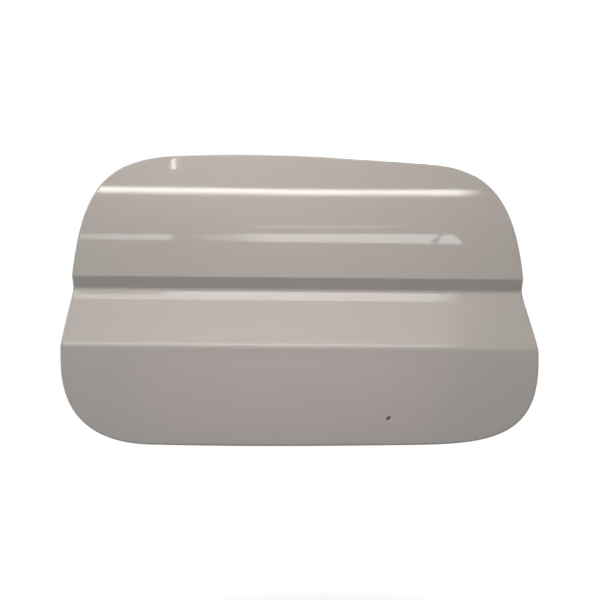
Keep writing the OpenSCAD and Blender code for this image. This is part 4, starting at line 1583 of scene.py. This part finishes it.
        columns, rows = self.grid
        share = np.linspace(0, 1, columns)
        upper, lower = on_line(thing.upper, share), on_line(thing.lower, share)
        strength = np.interp(share, *zip(*thing.along))
        points, light = [], []
        tint = np.array(thing.tint)
        for over in np.linspace(0, 1, rows):
            points += [self.mirrored(px, thing.far) for px in upper + (lower - upper) * over]
            extra = (np.interp(over, *zip(*thing.across)) - 1) * strength
            light += np.hstack([1 + extra[:, None] * tint, np.ones((columns, 1))]).ravel().tolist()
        faces = [
            (k + i, k + i + 1, k + i + 1 + columns, k + i + columns)
            for k in range(0, (rows - 1) * columns, columns) for i in range(columns - 1)
        ]
        made = drawn(thing.name, np.array(points), faces=faces)
        made.data.attributes.new("light", "FLOAT_COLOR", "POINT").data.foreach_set("color", light)
        nodes = Nodes(thing.name)
        at_point = nodes.add("Attribute", attribute_name="light")
        made.data.materials.append(
            nodes.finish(nodes.add("Emission", Color=at_point.outputs["Color"], Strength=1.0)))
        made.visible_camera = False
        made.visible_diffuse = False
        made.visible_shadow = False

    def world(self) -> None:
        """A plain pale world that the camera and the gloss see as white."""
        world = bpy.data.worlds.new("studio_world")
        world.use_nodes = True
        world.node_tree.nodes.clear()
        wires = Wires(world.node_tree)
        light = wires.add("Background", Color=(*self.ambient, 1), Strength=1.0)
        white = wires.add("Background", Color=(1, 1, 1, 1), Strength=1.0)
        shown = wires.mixed(wires.looked_at(), light, white)
        wires.link(shown.outputs[0], wires.add("OutputWorld").inputs[0])
        bpy.context.scene.world = world

    def floor(self) -> None:
        """A pale floor under the door."""
        mesh = bpy.data.meshes.new("pale_floor")
        z = float(to_model(np.array([0, 0, -self.floor_below]))[2])
        size = self.floor_reach
        mesh.from_pydata([(-size, -size, z), (size, -size, z), (size, size, z), (-size, size, z)], [],
                         [(0, 1, 2, 3)])
        mesh.materials.append(PaleFloor().material())
        placed("pale_floor", mesh)

    def build(self) -> None:
        """Sets the whole studio up."""
        self.camera()
        self.world()
        self.floor()
        for soft in self.lamps:
            self.lamp(soft)
        for thing in self.seen:
            self.show(thing)
        bpy.context.scene.view_settings.view_transform = "Standard"


def finishes(chip_at: Pair) -> dict[str, Material]:
    """Makes every finish.

    Args:
        chip_at: place of the paint chip, x and z in the model's frame.

    Returns:
        The materials by short name.
    """
    return {
        "outer": BodyPaint(chip_at=chip_at).material(),
        "inner": InnerPaint().material(),
        "plated": Metal("zinc_plate", (0.62, 0.6, 0.54), (0.46, 0.44, 0.38), (0.28, 0.45)).material(),
        "spring": Metal("spring_steel_wire", (0.13, 0.13, 0.14), (0.2, 0.18, 0.16), (0.3, 0.5)).material(),
        "nylon": Moulded("natural_nylon", (0.68, 0.65, 0.56), (0.5, 0.47, 0.4), (0.4, 0.55),
                         900, 0.00002).material(),
        "rubber": Moulded("black_rubber", (0.012, 0.012, 0.012), (0.05, 0.047, 0.044), (0.6, 0.8),
                          1400, 0.00004, 0.35).material(),
        "plastic": Moulded("black_plastic", (0.016, 0.016, 0.017), (0.04, 0.038, 0.036), (0.42, 0.58),
                           2200, 0.00003).material(),
        "sealer": Moulded("painted_sealer", (0.4, 0.365, 0.335), (0.3, 0.27, 0.24), (0.42, 0.6),
                          260, 0.00012).material(),
        "mastic": Moulded("soft_mastic", (0.05, 0.05, 0.048), (0.09, 0.088, 0.08), (0.7, 0.85),
                          500, 0.0002, 0.3).material(),
    }


def main() -> None:
    """Builds the studio and every piece in order."""
    logging.basicConfig(level=logging.INFO, format="%(name)s: %(message)s")
    form = DoorForm(DoorOutline(), FrontProfile())
    studio = Studio(form)
    studio.build()
    shell = PanelShell(form)
    chip = to_model(studio.on_face(shell.chip_px))
    materials = finishes((float(chip[0]), float(chip[2])))
    shell.build(materials["outer"], materials["inner"], materials["sealer"], materials["mastic"])
    Fixings().build(materials["plated"])
    Spring().build(materials["spring"])
    Hardware().build(materials)


if __name__ == "__main__":
    main()
